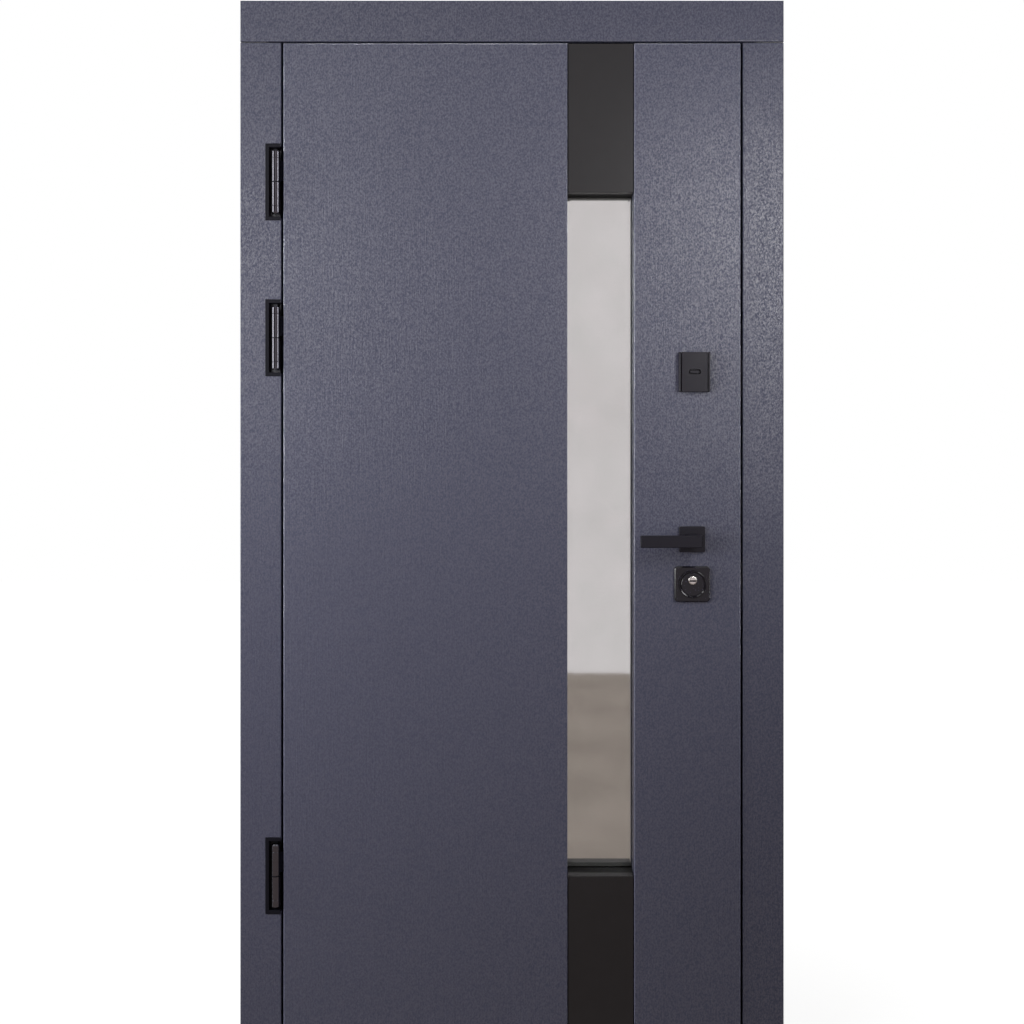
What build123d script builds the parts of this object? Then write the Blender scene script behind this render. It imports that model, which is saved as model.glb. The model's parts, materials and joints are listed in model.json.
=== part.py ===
from build123d import *
import os

# Steel entrance door in its frame, all sizes in millimetres.
# X runs right as seen from outside, Y runs into the building, Z runs up.
# The origin is the middle of the threshold's underside.

# Frame block and architraves
BLOCK_WIDTH = 960.0
BLOCK_TOP = 2050.0
FRAME_DEPTH = 100.0
FRAME_SHEET = 2.0
FRONT_FLANGE = 25.0
STOP_WIDTH = 24.0
STOP_ROOM = 6.0
RETURN_LIP = 14.0
THRESHOLD_HEIGHT = 20.0
UPSTAND_HEIGHT = 20.0
UPSTAND_FIT = 0.2
ARCHITRAVE_WIDTH = 80.0
ARCHITRAVE_THICK = 16.0
ARCHITRAVE_JOINT = 2.2
EDGE_EASE = 2.0
ANCHOR_RADIUS = 6.25
ANCHOR_FROM_FRONT = 40.0
ANCHOR_LOW = 150.0
ANCHOR_SECOND = 800.0
ANCHOR_THIRD = 1200.0
ANCHOR_TOP_DROP = 200.0
SEAL_WIDTH = 10.0
SEAL_GAP = 1.0
SEAL_INSET = 7.0

# Leaf: steel casing with a facing panel on each side
LEAF_ROOM = 10.0
LEAF_GAP = 5.2
SILL_ROOM = 7.0
PANEL_THICK = 20.0
CASING_MARGIN = 3.0
CASING_THICK = 60.0
INNER_PANEL_THICK = 16.0
INNER_PANEL_ROOM = 10.0
INNER_SILL_ROOM = 6.0

# Strip of glass between two dark inserts
LOCK_PANEL_WIDTH = 207.0
STRIP_WIDTH = 130.0
TOP_INSERT_HEIGHT = 290.0
BOTTOM_INSERT_HEIGHT = 366.0
INSERT_RECESS = 1.5
INSERT_GAP = 1.5
INSERT_EASE = 1.0
LINING_THICK = 6.0
LINING_FIT = 0.2
GLASS_DEPTH = 45.0
GLASS_COVER = 5.0
GASKET_WIDTH = 0.8
GASKET_DEPTH = 0.8
MIRROR_THICK = 6.0
SPACER_THICK = 10.0
SPACER_WIDTH = 6.0
SPACER_INSET = 1.0
INNER_GLASS_THICK = 4.0

# Hinges and their pocket trims
HINGE_TOP_DROP = 269.0
HINGE_MIDDLE_DROP = 573.0
HINGE_BOTTOM_RISE = 366.0
AXIS_FROM_LEAF = 16.0
AXIS_BEHIND_ARCHITRAVE = 2.0
BARREL_RADIUS = 8.0
BARREL_HALF_LENGTH = 62.0
BARREL_SPLIT = 1.0
BARREL_CROWN = 2.5
GROOVE_WIDTH = 1.2
GROOVE_DEPTH = 0.6
GROOVE_STEP = 15.0
PIN_RADIUS = 5.0
PIN_CLEARANCE = 0.06
PIN_LENGTH = 44.0
PIN_END_ROOM = 2.0
FOOT_WIDTH = 8.0
FOOT_INSET = 3.0
ARM_PLATE_THICK = 4.0
ARM_PLATE_DEPTH = 36.0
ARM_INSET = 4.0
ARM_ROOT = 2.0
ARM_PANEL_GAP = 0.4
ARM_SHOULDER = 5.0
ARM_ROOM = 6.0
POCKET_WIDTH = 12.5
POCKET_ROOM = 5.5
TRIM_WALL = 2.0
TRIM_FLANGE = 7.5
TRIM_PROUD = 1.5
TRIM_EASE = 0.7
TRIM_SETBACK = 1.0

# Lock and handle furniture
BACKSET = 95.0
HANDLE_Z = 1050.0
KEYHOLE_ABOVE_HANDLE = 325.0
KEYHOLE_SHIFT = 4.0
CYLINDER_BELOW_HANDLE = 87.0
ROSE_SIZE = 50.0
ROSE_THICK = 8.0
ROSE_CORNER = 2.0
ROSE_EASE = 1.2
LEVER_REACH = 105.0
LEVER_HEEL = 13.0
LEVER_HEIGHT = 23.0
LEVER_THICK = 11.0
LEVER_STANDOFF = 46.0
LEVER_EASE = 1.5
NECK_WIDTH = 25.0
NECK_HEIGHT = 21.0
NECK_GAP = 1.0
BOSS_RADIUS = 10.0
BOSS_ENTRY = 4.0
BOSS_CLEARANCE = 0.5
SPINDLE_SIDE = 8.0
SPINDLE_HOLE_RADIUS = 9.0
GUARD_WIDTH = 60.0
GUARD_HEIGHT = 77.0
GUARD_BASE = 4.0
GUARD_RAIL = 4.0
GUARD_THICK = 14.0
GUARD_CORNER = 1.5
GUARD_EASE = 0.8
CHANNEL_OVERRUN = 1.0
SHUTTER_FIT = 0.3
SHUTTER_TONGUE = 1.6
SHUTTER_TONGUE_HEIGHT = 3.0
SHUTTER_BELOW_RAIL = 0.8
THUMB_SLOT_LENGTH = 23.0
THUMB_SLOT_WIDTH = 10.0
THUMB_SLOT_DEPTH = 2.5
THUMB_BUTTON_RIM = 3.0
THUMB_BUTTON_SINK = 0.8
KEYHOLE_DROP = 20.0
KEYHOLE_LENGTH = 22.0
KEYHOLE_WIDTH = 6.0
KEYHOLE_DEPTH = 3.0
PLATE_SIZE = 69.0
PLATE_THICK = 8.0
PLATE_CORNER = 6.0
PLATE_EASE = 2.0
CYLINDER_GUARD_RADIUS = 26.8
CYLINDER_GUARD_RISE = 5.0
GUARD_RIM = 0.8
GUARD_SLOPE = 2.6
GUARD_SLOPE_DEPTH = 1.5
GUARD_GROOVE = 0.6
GUARD_DISC_EASE = 0.8
PLUG_RADIUS = 8.6
PLUG_ABOVE_PLATE = 8.0
PLUG_FIT = 0.1
PLUG_PROUD = 0.6
PLUG_EASE = 0.5
KEYWAY_LENGTH = 12.0
KEYWAY_WIDTH = 2.4
KEYWAY_DEPTH = 3.0
TURN_WIDTH = 12.0
TURN_HEIGHT = 34.0
TURN_STANDOFF = 8.0
TURN_THICK = 16.0
TURN_CORNER = 3.0
TURN_STEM_RADIUS = 7.0
INNER_PLATE_WIDTH = 46.0
INNER_PLATE_HEIGHT = 62.0
INNER_PLATE_THICK = 6.0

# Lock edges and strikes
FOREND_FROM_FRONT = 30.0
FOREND_WIDTH = 24.0
FOREND_THICK = 3.0
UPPER_FOREND_HEIGHT = 180.0
LOWER_FOREND_DROP = 45.0
LOWER_FOREND_HEIGHT = 260.0
BOLT_RADIUS = 8.0
BOLT_CLEARANCE = 0.3
BOLT_PITCH = 28.0
BOLTS_PER_LOCK = 3
BOLT_LENGTH = 12.0
LATCH_HEIGHT = 26.0
LATCH_WIDTH = 12.0
STRIKE_WIDTH = 34.0
STRIKE_THICK = 3.0
STRIKE_HOLE_MARGIN = 2.0
STRIKE_OVERHANG = 8.0
STRIKE_CORNER = 4.0

os.makedirs("parts", exist_ok=True)

# Planes and edges that follow from the sizes above
HALF_DEPTH = FRAME_DEPTH / 2
WALL_Y = -HALF_DEPTH
ARCHITRAVE_FRONT = WALL_Y - ARCHITRAVE_THICK
PANEL_FRONT = WALL_Y - PANEL_THICK
CASING_BACK = WALL_Y + CASING_THICK
STOP_Y = CASING_BACK + STOP_ROOM
SEAL_HEIGHT = STOP_ROOM - SEAL_GAP
ANCHOR_Y = WALL_Y + ANCHOR_FROM_FRONT
FOREND_Y = WALL_Y + FOREND_FROM_FRONT
INNER_FACE = CASING_BACK + INNER_PANEL_THICK
BLOCK_X = BLOCK_WIDTH / 2
REVEAL_X = BLOCK_X - FRONT_FLANGE
INNER_X = REVEAL_X - STOP_WIDTH
REVEAL_Z = BLOCK_TOP - FRONT_FLANGE
INNER_Z = REVEAL_Z - STOP_WIDTH
LEAF_X = REVEAL_X - LEAF_ROOM
PANEL_TOP = REVEAL_Z - LEAF_ROOM
PANEL_BOTTOM = THRESHOLD_HEIGHT + SILL_ROOM
INNER_PANEL_WIDTH = 2 * INNER_X - 2 * INNER_PANEL_ROOM
INNER_PANEL_TOP = INNER_Z - INNER_PANEL_ROOM
INNER_PANEL_BOTTOM = THRESHOLD_HEIGHT + UPSTAND_HEIGHT + INNER_SILL_ROOM
CASING_X = LEAF_X - CASING_MARGIN
ARCH_IN_X = LEAF_X + LEAF_GAP
ARCH_OUT_X = ARCH_IN_X + ARCHITRAVE_WIDTH
HEAD_LOW = PANEL_TOP + LEAF_GAP
SIDE_TOP = HEAD_LOW - ARCHITRAVE_JOINT
STRIP_RIGHT = LEAF_X - LOCK_PANEL_WIDTH
STRIP_LEFT = STRIP_RIGHT - STRIP_WIDTH
STRIP_X = (STRIP_LEFT + STRIP_RIGHT) / 2
GLASS_TOP = PANEL_TOP - TOP_INSERT_HEIGHT
GLASS_BOTTOM = PANEL_BOTTOM + BOTTOM_INSERT_HEIGHT
GLASS_Z = (GLASS_TOP + GLASS_BOTTOM) / 2
GLASS_HEIGHT = GLASS_TOP - GLASS_BOTTOM
GLASS_FRONT = PANEL_FRONT + GLASS_DEPTH
MIRROR_BACK = GLASS_FRONT + MIRROR_THICK
INNER_PANE_FRONT = MIRROR_BACK + SPACER_THICK
GLASS_BACK = INNER_PANE_FRONT + INNER_GLASS_THICK
AXIS_X = -LEAF_X - AXIS_FROM_LEAF
AXIS_Y = ARCHITRAVE_FRONT + AXIS_BEHIND_ARCHITRAVE
HINGES = {
    "top": PANEL_TOP - HINGE_TOP_DROP,
    "middle": PANEL_TOP - HINGE_MIDDLE_DROP,
    "bottom": PANEL_BOTTOM + HINGE_BOTTOM_RISE,
}
POCKET_HALF = BARREL_HALF_LENGTH + POCKET_ROOM
POCKET_X = AXIS_X - POCKET_WIDTH
HALF_SPLIT = BARREL_SPLIT / 2
HARDWARE_X = LEAF_X - BACKSET
KEYHOLE_Z = HANDLE_Z + KEYHOLE_ABOVE_HANDLE
KEYHOLE_X = HARDWARE_X + KEYHOLE_SHIFT
CYLINDER_PLATE_Z = HANDLE_Z - CYLINDER_BELOW_HANDLE
LOWER_FOREND_Z = HANDLE_Z - LOWER_FOREND_DROP
BOLT_STEPS = [BOLT_PITCH * (i - (BOLTS_PER_LOCK - 1) / 2) for i in range(BOLTS_PER_LOCK)]
UPPER_BOLTS = [KEYHOLE_Z + step for step in BOLT_STEPS]
LOWER_BOLTS = [CYLINDER_PLATE_Z + step for step in BOLT_STEPS]
BOLT_WINDOW_WIDTH = 2 * BOLT_RADIUS + 2 * STRIKE_HOLE_MARGIN
BOLT_WINDOW_HEIGHT = BOLT_PITCH * (BOLTS_PER_LOCK - 1) + BOLT_WINDOW_WIDTH
LATCH_WINDOW_WIDTH = LATCH_WIDTH + 2 * STRIKE_HOLE_MARGIN
LATCH_WINDOW_HEIGHT = LATCH_HEIGHT + 2 * STRIKE_HOLE_MARGIN


# THRESHOLD: steel sill with an upstand that the foot of the leaf closes against
with BuildPart() as threshold:
    with BuildSketch(Plane.XY):
        Rectangle(BLOCK_WIDTH, FRAME_DEPTH)
    extrude(amount=THRESHOLD_HEIGHT)
    with BuildSketch(Plane.XY.offset(THRESHOLD_HEIGHT)):
        with Locations((0, (STOP_Y + HALF_DEPTH) / 2)):
            Rectangle(2 * INNER_X - 2 * UPSTAND_FIT, HALF_DEPTH - STOP_Y)
    extrude(amount=UPSTAND_HEIGHT)
threshold.part.label = "threshold"
export_step(threshold.part, "parts/threshold.step")


# JAMBS: bent sheet with a front flange, a reveal, a stop and return lips, open to the wall
SECTION = [
    (BLOCK_X, WALL_Y),
    (REVEAL_X, WALL_Y),
    (REVEAL_X, STOP_Y),
    (INNER_X, STOP_Y),
    (INNER_X, HALF_DEPTH),
    (BLOCK_X, HALF_DEPTH),
]
HOLLOW = [
    (BLOCK_X - FRAME_SHEET, WALL_Y + FRAME_SHEET),
    (REVEAL_X + FRAME_SHEET, WALL_Y + FRAME_SHEET),
    (REVEAL_X + FRAME_SHEET, STOP_Y + FRAME_SHEET),
    (INNER_X + FRAME_SHEET, STOP_Y + FRAME_SHEET),
    (INNER_X + FRAME_SHEET, HALF_DEPTH - FRAME_SHEET),
    (BLOCK_X - FRAME_SHEET, HALF_DEPTH - FRAME_SHEET),
]
ANCHOR_HEIGHTS = [ANCHOR_LOW, ANCHOR_SECOND, ANCHOR_THIRD, BLOCK_TOP - ANCHOR_TOP_DROP]
ANCHOR_SPOTS = [(ANCHOR_Y, z) for z in ANCHOR_HEIGHTS]
SLOT_DEPTH = FRAME_DEPTH - 2 * RETURN_LIP

with BuildPart() as hinge_jamb:
    with BuildSketch(Plane.XY.offset(THRESHOLD_HEIGHT)):
        Polygon(*[(-x, y) for x, y in SECTION], align=None)
        Polygon(*[(-x, y) for x, y in HOLLOW], align=None, mode=Mode.SUBTRACT)
        with Locations((-BLOCK_X, 0)):
            Rectangle(2 * FRAME_SHEET, SLOT_DEPTH, mode=Mode.SUBTRACT)
    extrude(amount=BLOCK_TOP - THRESHOLD_HEIGHT)
    split(bisect_by=Plane((-BLOCK_X, 0, BLOCK_TOP), x_dir=(0, 1, 0), z_dir=(1, 0, 1)), keep=Keep.BOTTOM)
    # anchor bolt holes through the reveal
    with BuildSketch(Plane.YZ.offset(-REVEAL_X - 2 * FRAME_SHEET)):
        with Locations(*ANCHOR_SPOTS):
            Circle(ANCHOR_RADIUS)
    extrude(amount=3 * FRAME_SHEET, mode=Mode.SUBTRACT)
    # notches behind the pockets let the hinge arms through
    for hinge_z in HINGES.values():
        with BuildSketch(Plane.XY.offset(hinge_z - ARM_ROOM)):
            with Locations((-REVEAL_X, WALL_Y)):
                Rectangle(2 * ARM_ROOM, 3 * ARM_ROOM)
        extrude(amount=BARREL_HALF_LENGTH + 2 * ARM_ROOM, mode=Mode.SUBTRACT)
hinge_jamb.part.label = "hinge_jamb"
export_step(hinge_jamb.part, "parts/hinge_jamb.step")

with BuildPart() as lock_jamb:
    with BuildSketch(Plane.XY.offset(THRESHOLD_HEIGHT)):
        Polygon(*SECTION, align=None)
        Polygon(*HOLLOW, align=None, mode=Mode.SUBTRACT)
        with Locations((BLOCK_X, 0)):
            Rectangle(2 * FRAME_SHEET, SLOT_DEPTH, mode=Mode.SUBTRACT)
    extrude(amount=BLOCK_TOP - THRESHOLD_HEIGHT)
    split(bisect_by=Plane((BLOCK_X, 0, BLOCK_TOP), x_dir=(0, 1, 0), z_dir=(-1, 0, 1)), keep=Keep.BOTTOM)
    # anchor bolt holes through the reveal
    with BuildSketch(Plane.YZ.offset(REVEAL_X - FRAME_SHEET)):
        with Locations(*ANCHOR_SPOTS):
            Circle(ANCHOR_RADIUS)
    extrude(amount=3 * FRAME_SHEET, mode=Mode.SUBTRACT)
    # windows behind the strikes for the bolts and the latch
    with BuildSketch(Plane.YZ.offset(REVEAL_X - FRAME_SHEET)):
        with Locations((FOREND_Y, KEYHOLE_Z), (FOREND_Y, CYLINDER_PLATE_Z)):
            Rectangle(BOLT_WINDOW_WIDTH, BOLT_WINDOW_HEIGHT)
        with Locations((FOREND_Y, HANDLE_Z)):
            Rectangle(LATCH_WINDOW_WIDTH, LATCH_WINDOW_HEIGHT)
    extrude(amount=3 * FRAME_SHEET, mode=Mode.SUBTRACT)
lock_jamb.part.label = "lock_jamb"
export_step(lock_jamb.part, "parts/lock_jamb.step")


# FRAME HEAD: the same bent section, mitred into both jambs
with BuildPart() as frame_head:
    with BuildSketch(Plane.YZ.offset(-BLOCK_X)):
        Polygon(*[(y, BLOCK_TOP - BLOCK_X + x) for x, y in SECTION], align=None)
        Polygon(*[(y, BLOCK_TOP - BLOCK_X + x) for x, y in HOLLOW], align=None, mode=Mode.SUBTRACT)
        with Locations((0, BLOCK_TOP)):
            Rectangle(SLOT_DEPTH, 2 * FRAME_SHEET, mode=Mode.SUBTRACT)
    extrude(amount=BLOCK_WIDTH)
    split(bisect_by=Plane((-BLOCK_X, 0, BLOCK_TOP), x_dir=(0, 1, 0), z_dir=(1, 0, 1)), keep=Keep.TOP)
    split(bisect_by=Plane((BLOCK_X, 0, BLOCK_TOP), x_dir=(0, 1, 0), z_dir=(-1, 0, 1)), keep=Keep.TOP)
frame_head.part.label = "frame_head"
export_step(frame_head.part, "parts/frame_head.step")


# SEALS: rubber strip round the stop on three sides, and one across the upstand
SEAL_OUT_X = REVEAL_X - SEAL_INSET
SEAL_OUT_Z = REVEAL_Z - SEAL_INSET
SEAL_IN_X = SEAL_OUT_X - SEAL_WIDTH
SEAL_IN_Z = SEAL_OUT_Z - SEAL_WIDTH
SEAL_LOW = THRESHOLD_HEIGHT + UPSTAND_HEIGHT
with BuildPart() as frame_seal:
    with BuildSketch(Plane.XZ.offset(-STOP_Y)):
        with Locations((0, (SEAL_OUT_Z + SEAL_LOW) / 2)):
            Rectangle(2 * SEAL_OUT_X, SEAL_OUT_Z - SEAL_LOW)
        with Locations((0, (SEAL_IN_Z + SEAL_LOW) / 2)):
            Rectangle(2 * SEAL_IN_X, SEAL_IN_Z - SEAL_LOW, mode=Mode.SUBTRACT)
    extrude(amount=SEAL_HEIGHT)
frame_seal.part.label = "frame_seal"
export_step(frame_seal.part, "parts/frame_seal.step")

with BuildPart() as sill_seal:
    with BuildSketch(Plane.XZ.offset(-STOP_Y)):
        with Locations((0, SEAL_LOW - SEAL_WIDTH / 2)):
            Rectangle(2 * SEAL_IN_X, SEAL_WIDTH)
    extrude(amount=SEAL_HEIGHT)
sill_seal.part.label = "sill_seal"
export_step(sill_seal.part, "parts/sill_seal.step")


# ARCHITRAVES: flat film-faced boards with eased edges, the head lying across the sides
with BuildPart() as hinge_side_architrave:
    with BuildSketch(Plane.XZ.offset(-WALL_Y)):
        with Locations((-(ARCH_IN_X + ARCH_OUT_X) / 2, SIDE_TOP / 2)):
            Rectangle(ARCHITRAVE_WIDTH, SIDE_TOP)
    extrude(amount=ARCHITRAVE_THICK)
    fillet(hinge_side_architrave.faces().sort_by(Axis.Y)[0].edges(), EDGE_EASE)
    # square notches at the inner edge, one for each hinge pocket
    with BuildSketch(Plane.XZ.offset(-WALL_Y)):
        for hinge_z in HINGES.values():
            with Locations(((POCKET_X - TRIM_WALL - ARCH_IN_X + EDGE_EASE) / 2, hinge_z)):
                Rectangle(EDGE_EASE - ARCH_IN_X - POCKET_X + TRIM_WALL, 2 * POCKET_HALF + 2 * TRIM_WALL)
    extrude(amount=ARCHITRAVE_THICK, mode=Mode.SUBTRACT)
hinge_side_architrave.part.label = "hinge_side_architrave"
export_step(hinge_side_architrave.part, "parts/hinge_side_architrave.step")

with BuildPart() as lock_side_architrave:
    with BuildSketch(Plane.XZ.offset(-WALL_Y)):
        with Locations(((ARCH_IN_X + ARCH_OUT_X) / 2, SIDE_TOP / 2)):
            Rectangle(ARCHITRAVE_WIDTH, SIDE_TOP)
    extrude(amount=ARCHITRAVE_THICK)
    fillet(lock_side_architrave.faces().sort_by(Axis.Y)[0].edges(), EDGE_EASE)
lock_side_architrave.part.label = "lock_side_architrave"
export_step(lock_side_architrave.part, "parts/lock_side_architrave.step")

with BuildPart() as head_architrave:
    with BuildSketch(Plane.XZ.offset(-WALL_Y)):
        with Locations((0, HEAD_LOW + ARCHITRAVE_WIDTH / 2)):
            Rectangle(2 * ARCH_OUT_X, ARCHITRAVE_WIDTH)
    extrude(amount=ARCHITRAVE_THICK)
    fillet(head_architrave.faces().sort_by(Axis.Y)[0].edges(), EDGE_EASE)
head_architrave.part.label = "head_architrave"
export_step(head_architrave.part, "parts/head_architrave.step")


# HINGE POCKET TRIMS: black three-sided frames that line the notches, open towards the leaf
TRIM_END = -ARCH_IN_X - TRIM_SETBACK
for where, hinge_z in HINGES.items():
    with BuildPart() as hinge_trim:
        with BuildSketch(Plane.XZ.offset(-WALL_Y)):
            with Locations(((POCKET_X - TRIM_WALL + TRIM_END) / 2, hinge_z)):
                Rectangle(TRIM_END - POCKET_X + TRIM_WALL, 2 * POCKET_HALF + 2 * TRIM_WALL)
            with Locations(((POCKET_X + TRIM_END) / 2 + TRIM_WALL, hinge_z)):
                Rectangle(TRIM_END - POCKET_X + 2 * TRIM_WALL, 2 * POCKET_HALF, mode=Mode.SUBTRACT)
        extrude(amount=ARCHITRAVE_THICK)
        with BuildSketch(Plane.XZ.offset(-ARCHITRAVE_FRONT)):
            with Locations(((POCKET_X - TRIM_FLANGE + TRIM_END) / 2, hinge_z)):
                Rectangle(TRIM_END - POCKET_X + TRIM_FLANGE, 2 * POCKET_HALF + 2 * TRIM_FLANGE)
            with Locations(((POCKET_X + TRIM_END) / 2 + TRIM_WALL, hinge_z)):
                Rectangle(TRIM_END - POCKET_X + 2 * TRIM_WALL, 2 * POCKET_HALF, mode=Mode.SUBTRACT)
        extrude(amount=TRIM_PROUD)
        chamfer(hinge_trim.faces().sort_by(Axis.Y)[0].edges(), TRIM_EASE)
    hinge_trim.part.label = f"hinge_trim_{where}"
    export_step(hinge_trim.part, f"parts/hinge_trim_{where}.step")


# HINGES: a pintle welded to the jamb below, and a bored socket on the leaf above
GROOVE_POINTS = [(0, -GROOVE_WIDTH / 2), (0, GROOVE_WIDTH / 2), (-GROOVE_DEPTH, 0)]
for where, hinge_z in HINGES.items():
    low_z = hinge_z - BARREL_HALF_LENGTH
    with BuildPart() as hinge_pintle:
        with BuildSketch(Plane((AXIS_X, AXIS_Y, 0), x_dir=(1, 0, 0), z_dir=(0, -1, 0))):
            with BuildLine():
                Polyline(
                    (0, low_z),
                    (BARREL_RADIUS - BARREL_CROWN, low_z),
                    (BARREL_RADIUS, low_z + BARREL_CROWN),
                    (BARREL_RADIUS, hinge_z - HALF_SPLIT),
                    (PIN_RADIUS, hinge_z - HALF_SPLIT),
                    (PIN_RADIUS, hinge_z + PIN_LENGTH),
                    (0, hinge_z + PIN_LENGTH),
                    close=True,
                )
            make_face()
            with Locations((BARREL_RADIUS, low_z + GROOVE_STEP)):
                Polygon(*GROOVE_POINTS, align=None, mode=Mode.SUBTRACT)
        revolve(axis=Axis((AXIS_X, AXIS_Y, 0), (0, 0, 1)))
        # welded foot on the jamb's front flange
        with BuildSketch(Plane.XY.offset(low_z + GROOVE_STEP + FOOT_INSET)):
            with Locations((AXIS_X, (AXIS_Y + PIN_RADIUS + WALL_Y) / 2)):
                Rectangle(FOOT_WIDTH, WALL_Y - AXIS_Y - PIN_RADIUS)
        extrude(amount=BARREL_HALF_LENGTH - GROOVE_STEP - 4 * FOOT_INSET)
    hinge_pintle.part.label = f"hinge_pintle_{where}"
    export_step(hinge_pintle.part, f"parts/hinge_pintle_{where}.step")

    high_z = hinge_z + BARREL_HALF_LENGTH
    arm_low = hinge_z + ARM_INSET
    arm_tall = BARREL_HALF_LENGTH - GROOVE_STEP - 2 * ARM_INSET
    with BuildPart() as hinge_socket:
        with BuildSketch(Plane((AXIS_X, AXIS_Y, 0), x_dir=(1, 0, 0), z_dir=(0, -1, 0))):
            with BuildLine():
                Polyline(
                    (0, hinge_z + HALF_SPLIT),
                    (BARREL_RADIUS, hinge_z + HALF_SPLIT),
                    (BARREL_RADIUS, high_z - BARREL_CROWN),
                    (BARREL_RADIUS - BARREL_CROWN, high_z),
                    (0, high_z),
                    close=True,
                )
            make_face()
            with Locations((BARREL_RADIUS, high_z - GROOVE_STEP)):
                Polygon(*GROOVE_POINTS, align=None, mode=Mode.SUBTRACT)
        revolve(axis=Axis((AXIS_X, AXIS_Y, 0), (0, 0, 1)))
        # slanting arm from the barrel to a plate on the edge of the casing
        with BuildSketch(Plane.XY.offset(arm_low)):
            Polygon(
                (AXIS_X - ARM_ROOT, AXIS_Y + ARM_ROOT),
                (AXIS_X + ARM_ROOT, AXIS_Y),
                (-LEAF_X - ARM_PANEL_GAP, WALL_Y - ARM_PANEL_GAP),
                (-LEAF_X - ARM_PANEL_GAP, WALL_Y),
                (-CASING_X, WALL_Y),
                (-CASING_X, WALL_Y + ARM_PLATE_DEPTH),
                (-CASING_X - ARM_PLATE_THICK, WALL_Y + ARM_PLATE_DEPTH),
                (-CASING_X - ARM_PLATE_THICK, WALL_Y + ARM_SHOULDER),
                align=None,
            )
        extrude(amount=arm_tall)
        # blind bore for the pin
        with BuildSketch(Plane.XY.offset(hinge_z + HALF_SPLIT)):
            with Locations((AXIS_X, AXIS_Y)):
                Circle(PIN_RADIUS + PIN_CLEARANCE)
        extrude(amount=PIN_LENGTH + PIN_END_ROOM, mode=Mode.SUBTRACT)
    hinge_socket.part.label = f"hinge_socket_{where}"
    export_step(hinge_socket.part, f"parts/hinge_socket_{where}.step")


# STRIKE PLATES: set on the lock jamb's reveal opposite the bolts
LOCKS = {
    "upper": (KEYHOLE_Z, UPPER_FOREND_HEIGHT, UPPER_BOLTS, KEYHOLE_Z),
    "lower": (LOWER_FOREND_Z, LOWER_FOREND_HEIGHT, LOWER_BOLTS, CYLINDER_PLATE_Z),
}
for where, (mid_z, tall, bolts, bolts_z) in LOCKS.items():
    with BuildPart() as strike_plate:
        with BuildSketch(Plane.YZ.offset(REVEAL_X)):
            with Locations((FOREND_Y, mid_z)):
                RectangleRounded(STRIKE_WIDTH, tall + 2 * STRIKE_OVERHANG, STRIKE_CORNER)
            with Locations((FOREND_Y, bolts_z)):
                Rectangle(BOLT_WINDOW_WIDTH, BOLT_WINDOW_HEIGHT, mode=Mode.SUBTRACT)
            if where == "lower":
                with Locations((FOREND_Y, HANDLE_Z)):
                    Rectangle(LATCH_WINDOW_WIDTH, LATCH_WINDOW_HEIGHT, mode=Mode.SUBTRACT)
        extrude(amount=-STRIKE_THICK)
    strike_plate.part.label = f"{where}_strike_plate"
    export_step(strike_plate.part, f"parts/{where}_strike_plate.step")


# LEAF CASING: closed steel box with an opening for the glass and pockets for the lock edges
CASING_TOP = PANEL_TOP - CASING_MARGIN
CASING_LOW = PANEL_BOTTOM + CASING_MARGIN
OPENING_WIDTH = STRIP_WIDTH + 2 * LINING_THICK
OPENING_HEIGHT = GLASS_HEIGHT + 2 * LINING_THICK
with BuildPart() as leaf_casing:
    with BuildSketch(Plane.XZ.offset(-WALL_Y)):
        with Locations((0, (CASING_TOP + CASING_LOW) / 2)):
            Rectangle(2 * CASING_X, CASING_TOP - CASING_LOW)
        with Locations((STRIP_X, GLASS_Z)):
            Rectangle(OPENING_WIDTH, OPENING_HEIGHT, mode=Mode.SUBTRACT)
        with Locations((HARDWARE_X, HANDLE_Z)):
            Circle(SPINDLE_HOLE_RADIUS, mode=Mode.SUBTRACT)
    extrude(amount=-CASING_THICK)
    # pockets in the lock edge for the forends, and holes behind them for bolts and latch
    with BuildSketch(Plane.YZ.offset(CASING_X)):
        with Locations((FOREND_Y, KEYHOLE_Z)):
            Rectangle(FOREND_WIDTH, UPPER_FOREND_HEIGHT)
        with Locations((FOREND_Y, LOWER_FOREND_Z)):
            Rectangle(FOREND_WIDTH, LOWER_FOREND_HEIGHT)
    extrude(amount=-FOREND_THICK, mode=Mode.SUBTRACT)
    with BuildSketch(Plane.YZ.offset(CASING_X - FOREND_THICK)):
        with Locations(*[(FOREND_Y, z) for z in UPPER_BOLTS + LOWER_BOLTS]):
            Circle(BOLT_RADIUS + BOLT_CLEARANCE)
        with Locations((FOREND_Y, HANDLE_Z)):
            Rectangle(LATCH_WIDTH + 2 * BOLT_CLEARANCE, LATCH_HEIGHT + 2 * BOLT_CLEARANCE)
    extrude(amount=FOREND_THICK - BOLT_LENGTH, mode=Mode.SUBTRACT)
leaf_casing.part.label = "leaf_casing"
export_step(leaf_casing.part, "parts/leaf_casing.step")


# OUTER PANELS: film-faced boards on both sides of the strip
with BuildPart() as outer_hinge_panel:
    with BuildSketch(Plane.XZ.offset(-WALL_Y)):
        with Locations(((STRIP_LEFT - LEAF_X) / 2, (PANEL_TOP + PANEL_BOTTOM) / 2)):
            Rectangle(STRIP_LEFT + LEAF_X, PANEL_TOP - PANEL_BOTTOM)
    extrude(amount=PANEL_THICK)
    fillet(outer_hinge_panel.faces().sort_by(Axis.Y)[0].edges(), EDGE_EASE)
outer_hinge_panel.part.label = "outer_hinge_panel"
export_step(outer_hinge_panel.part, "parts/outer_hinge_panel.step")

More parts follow.
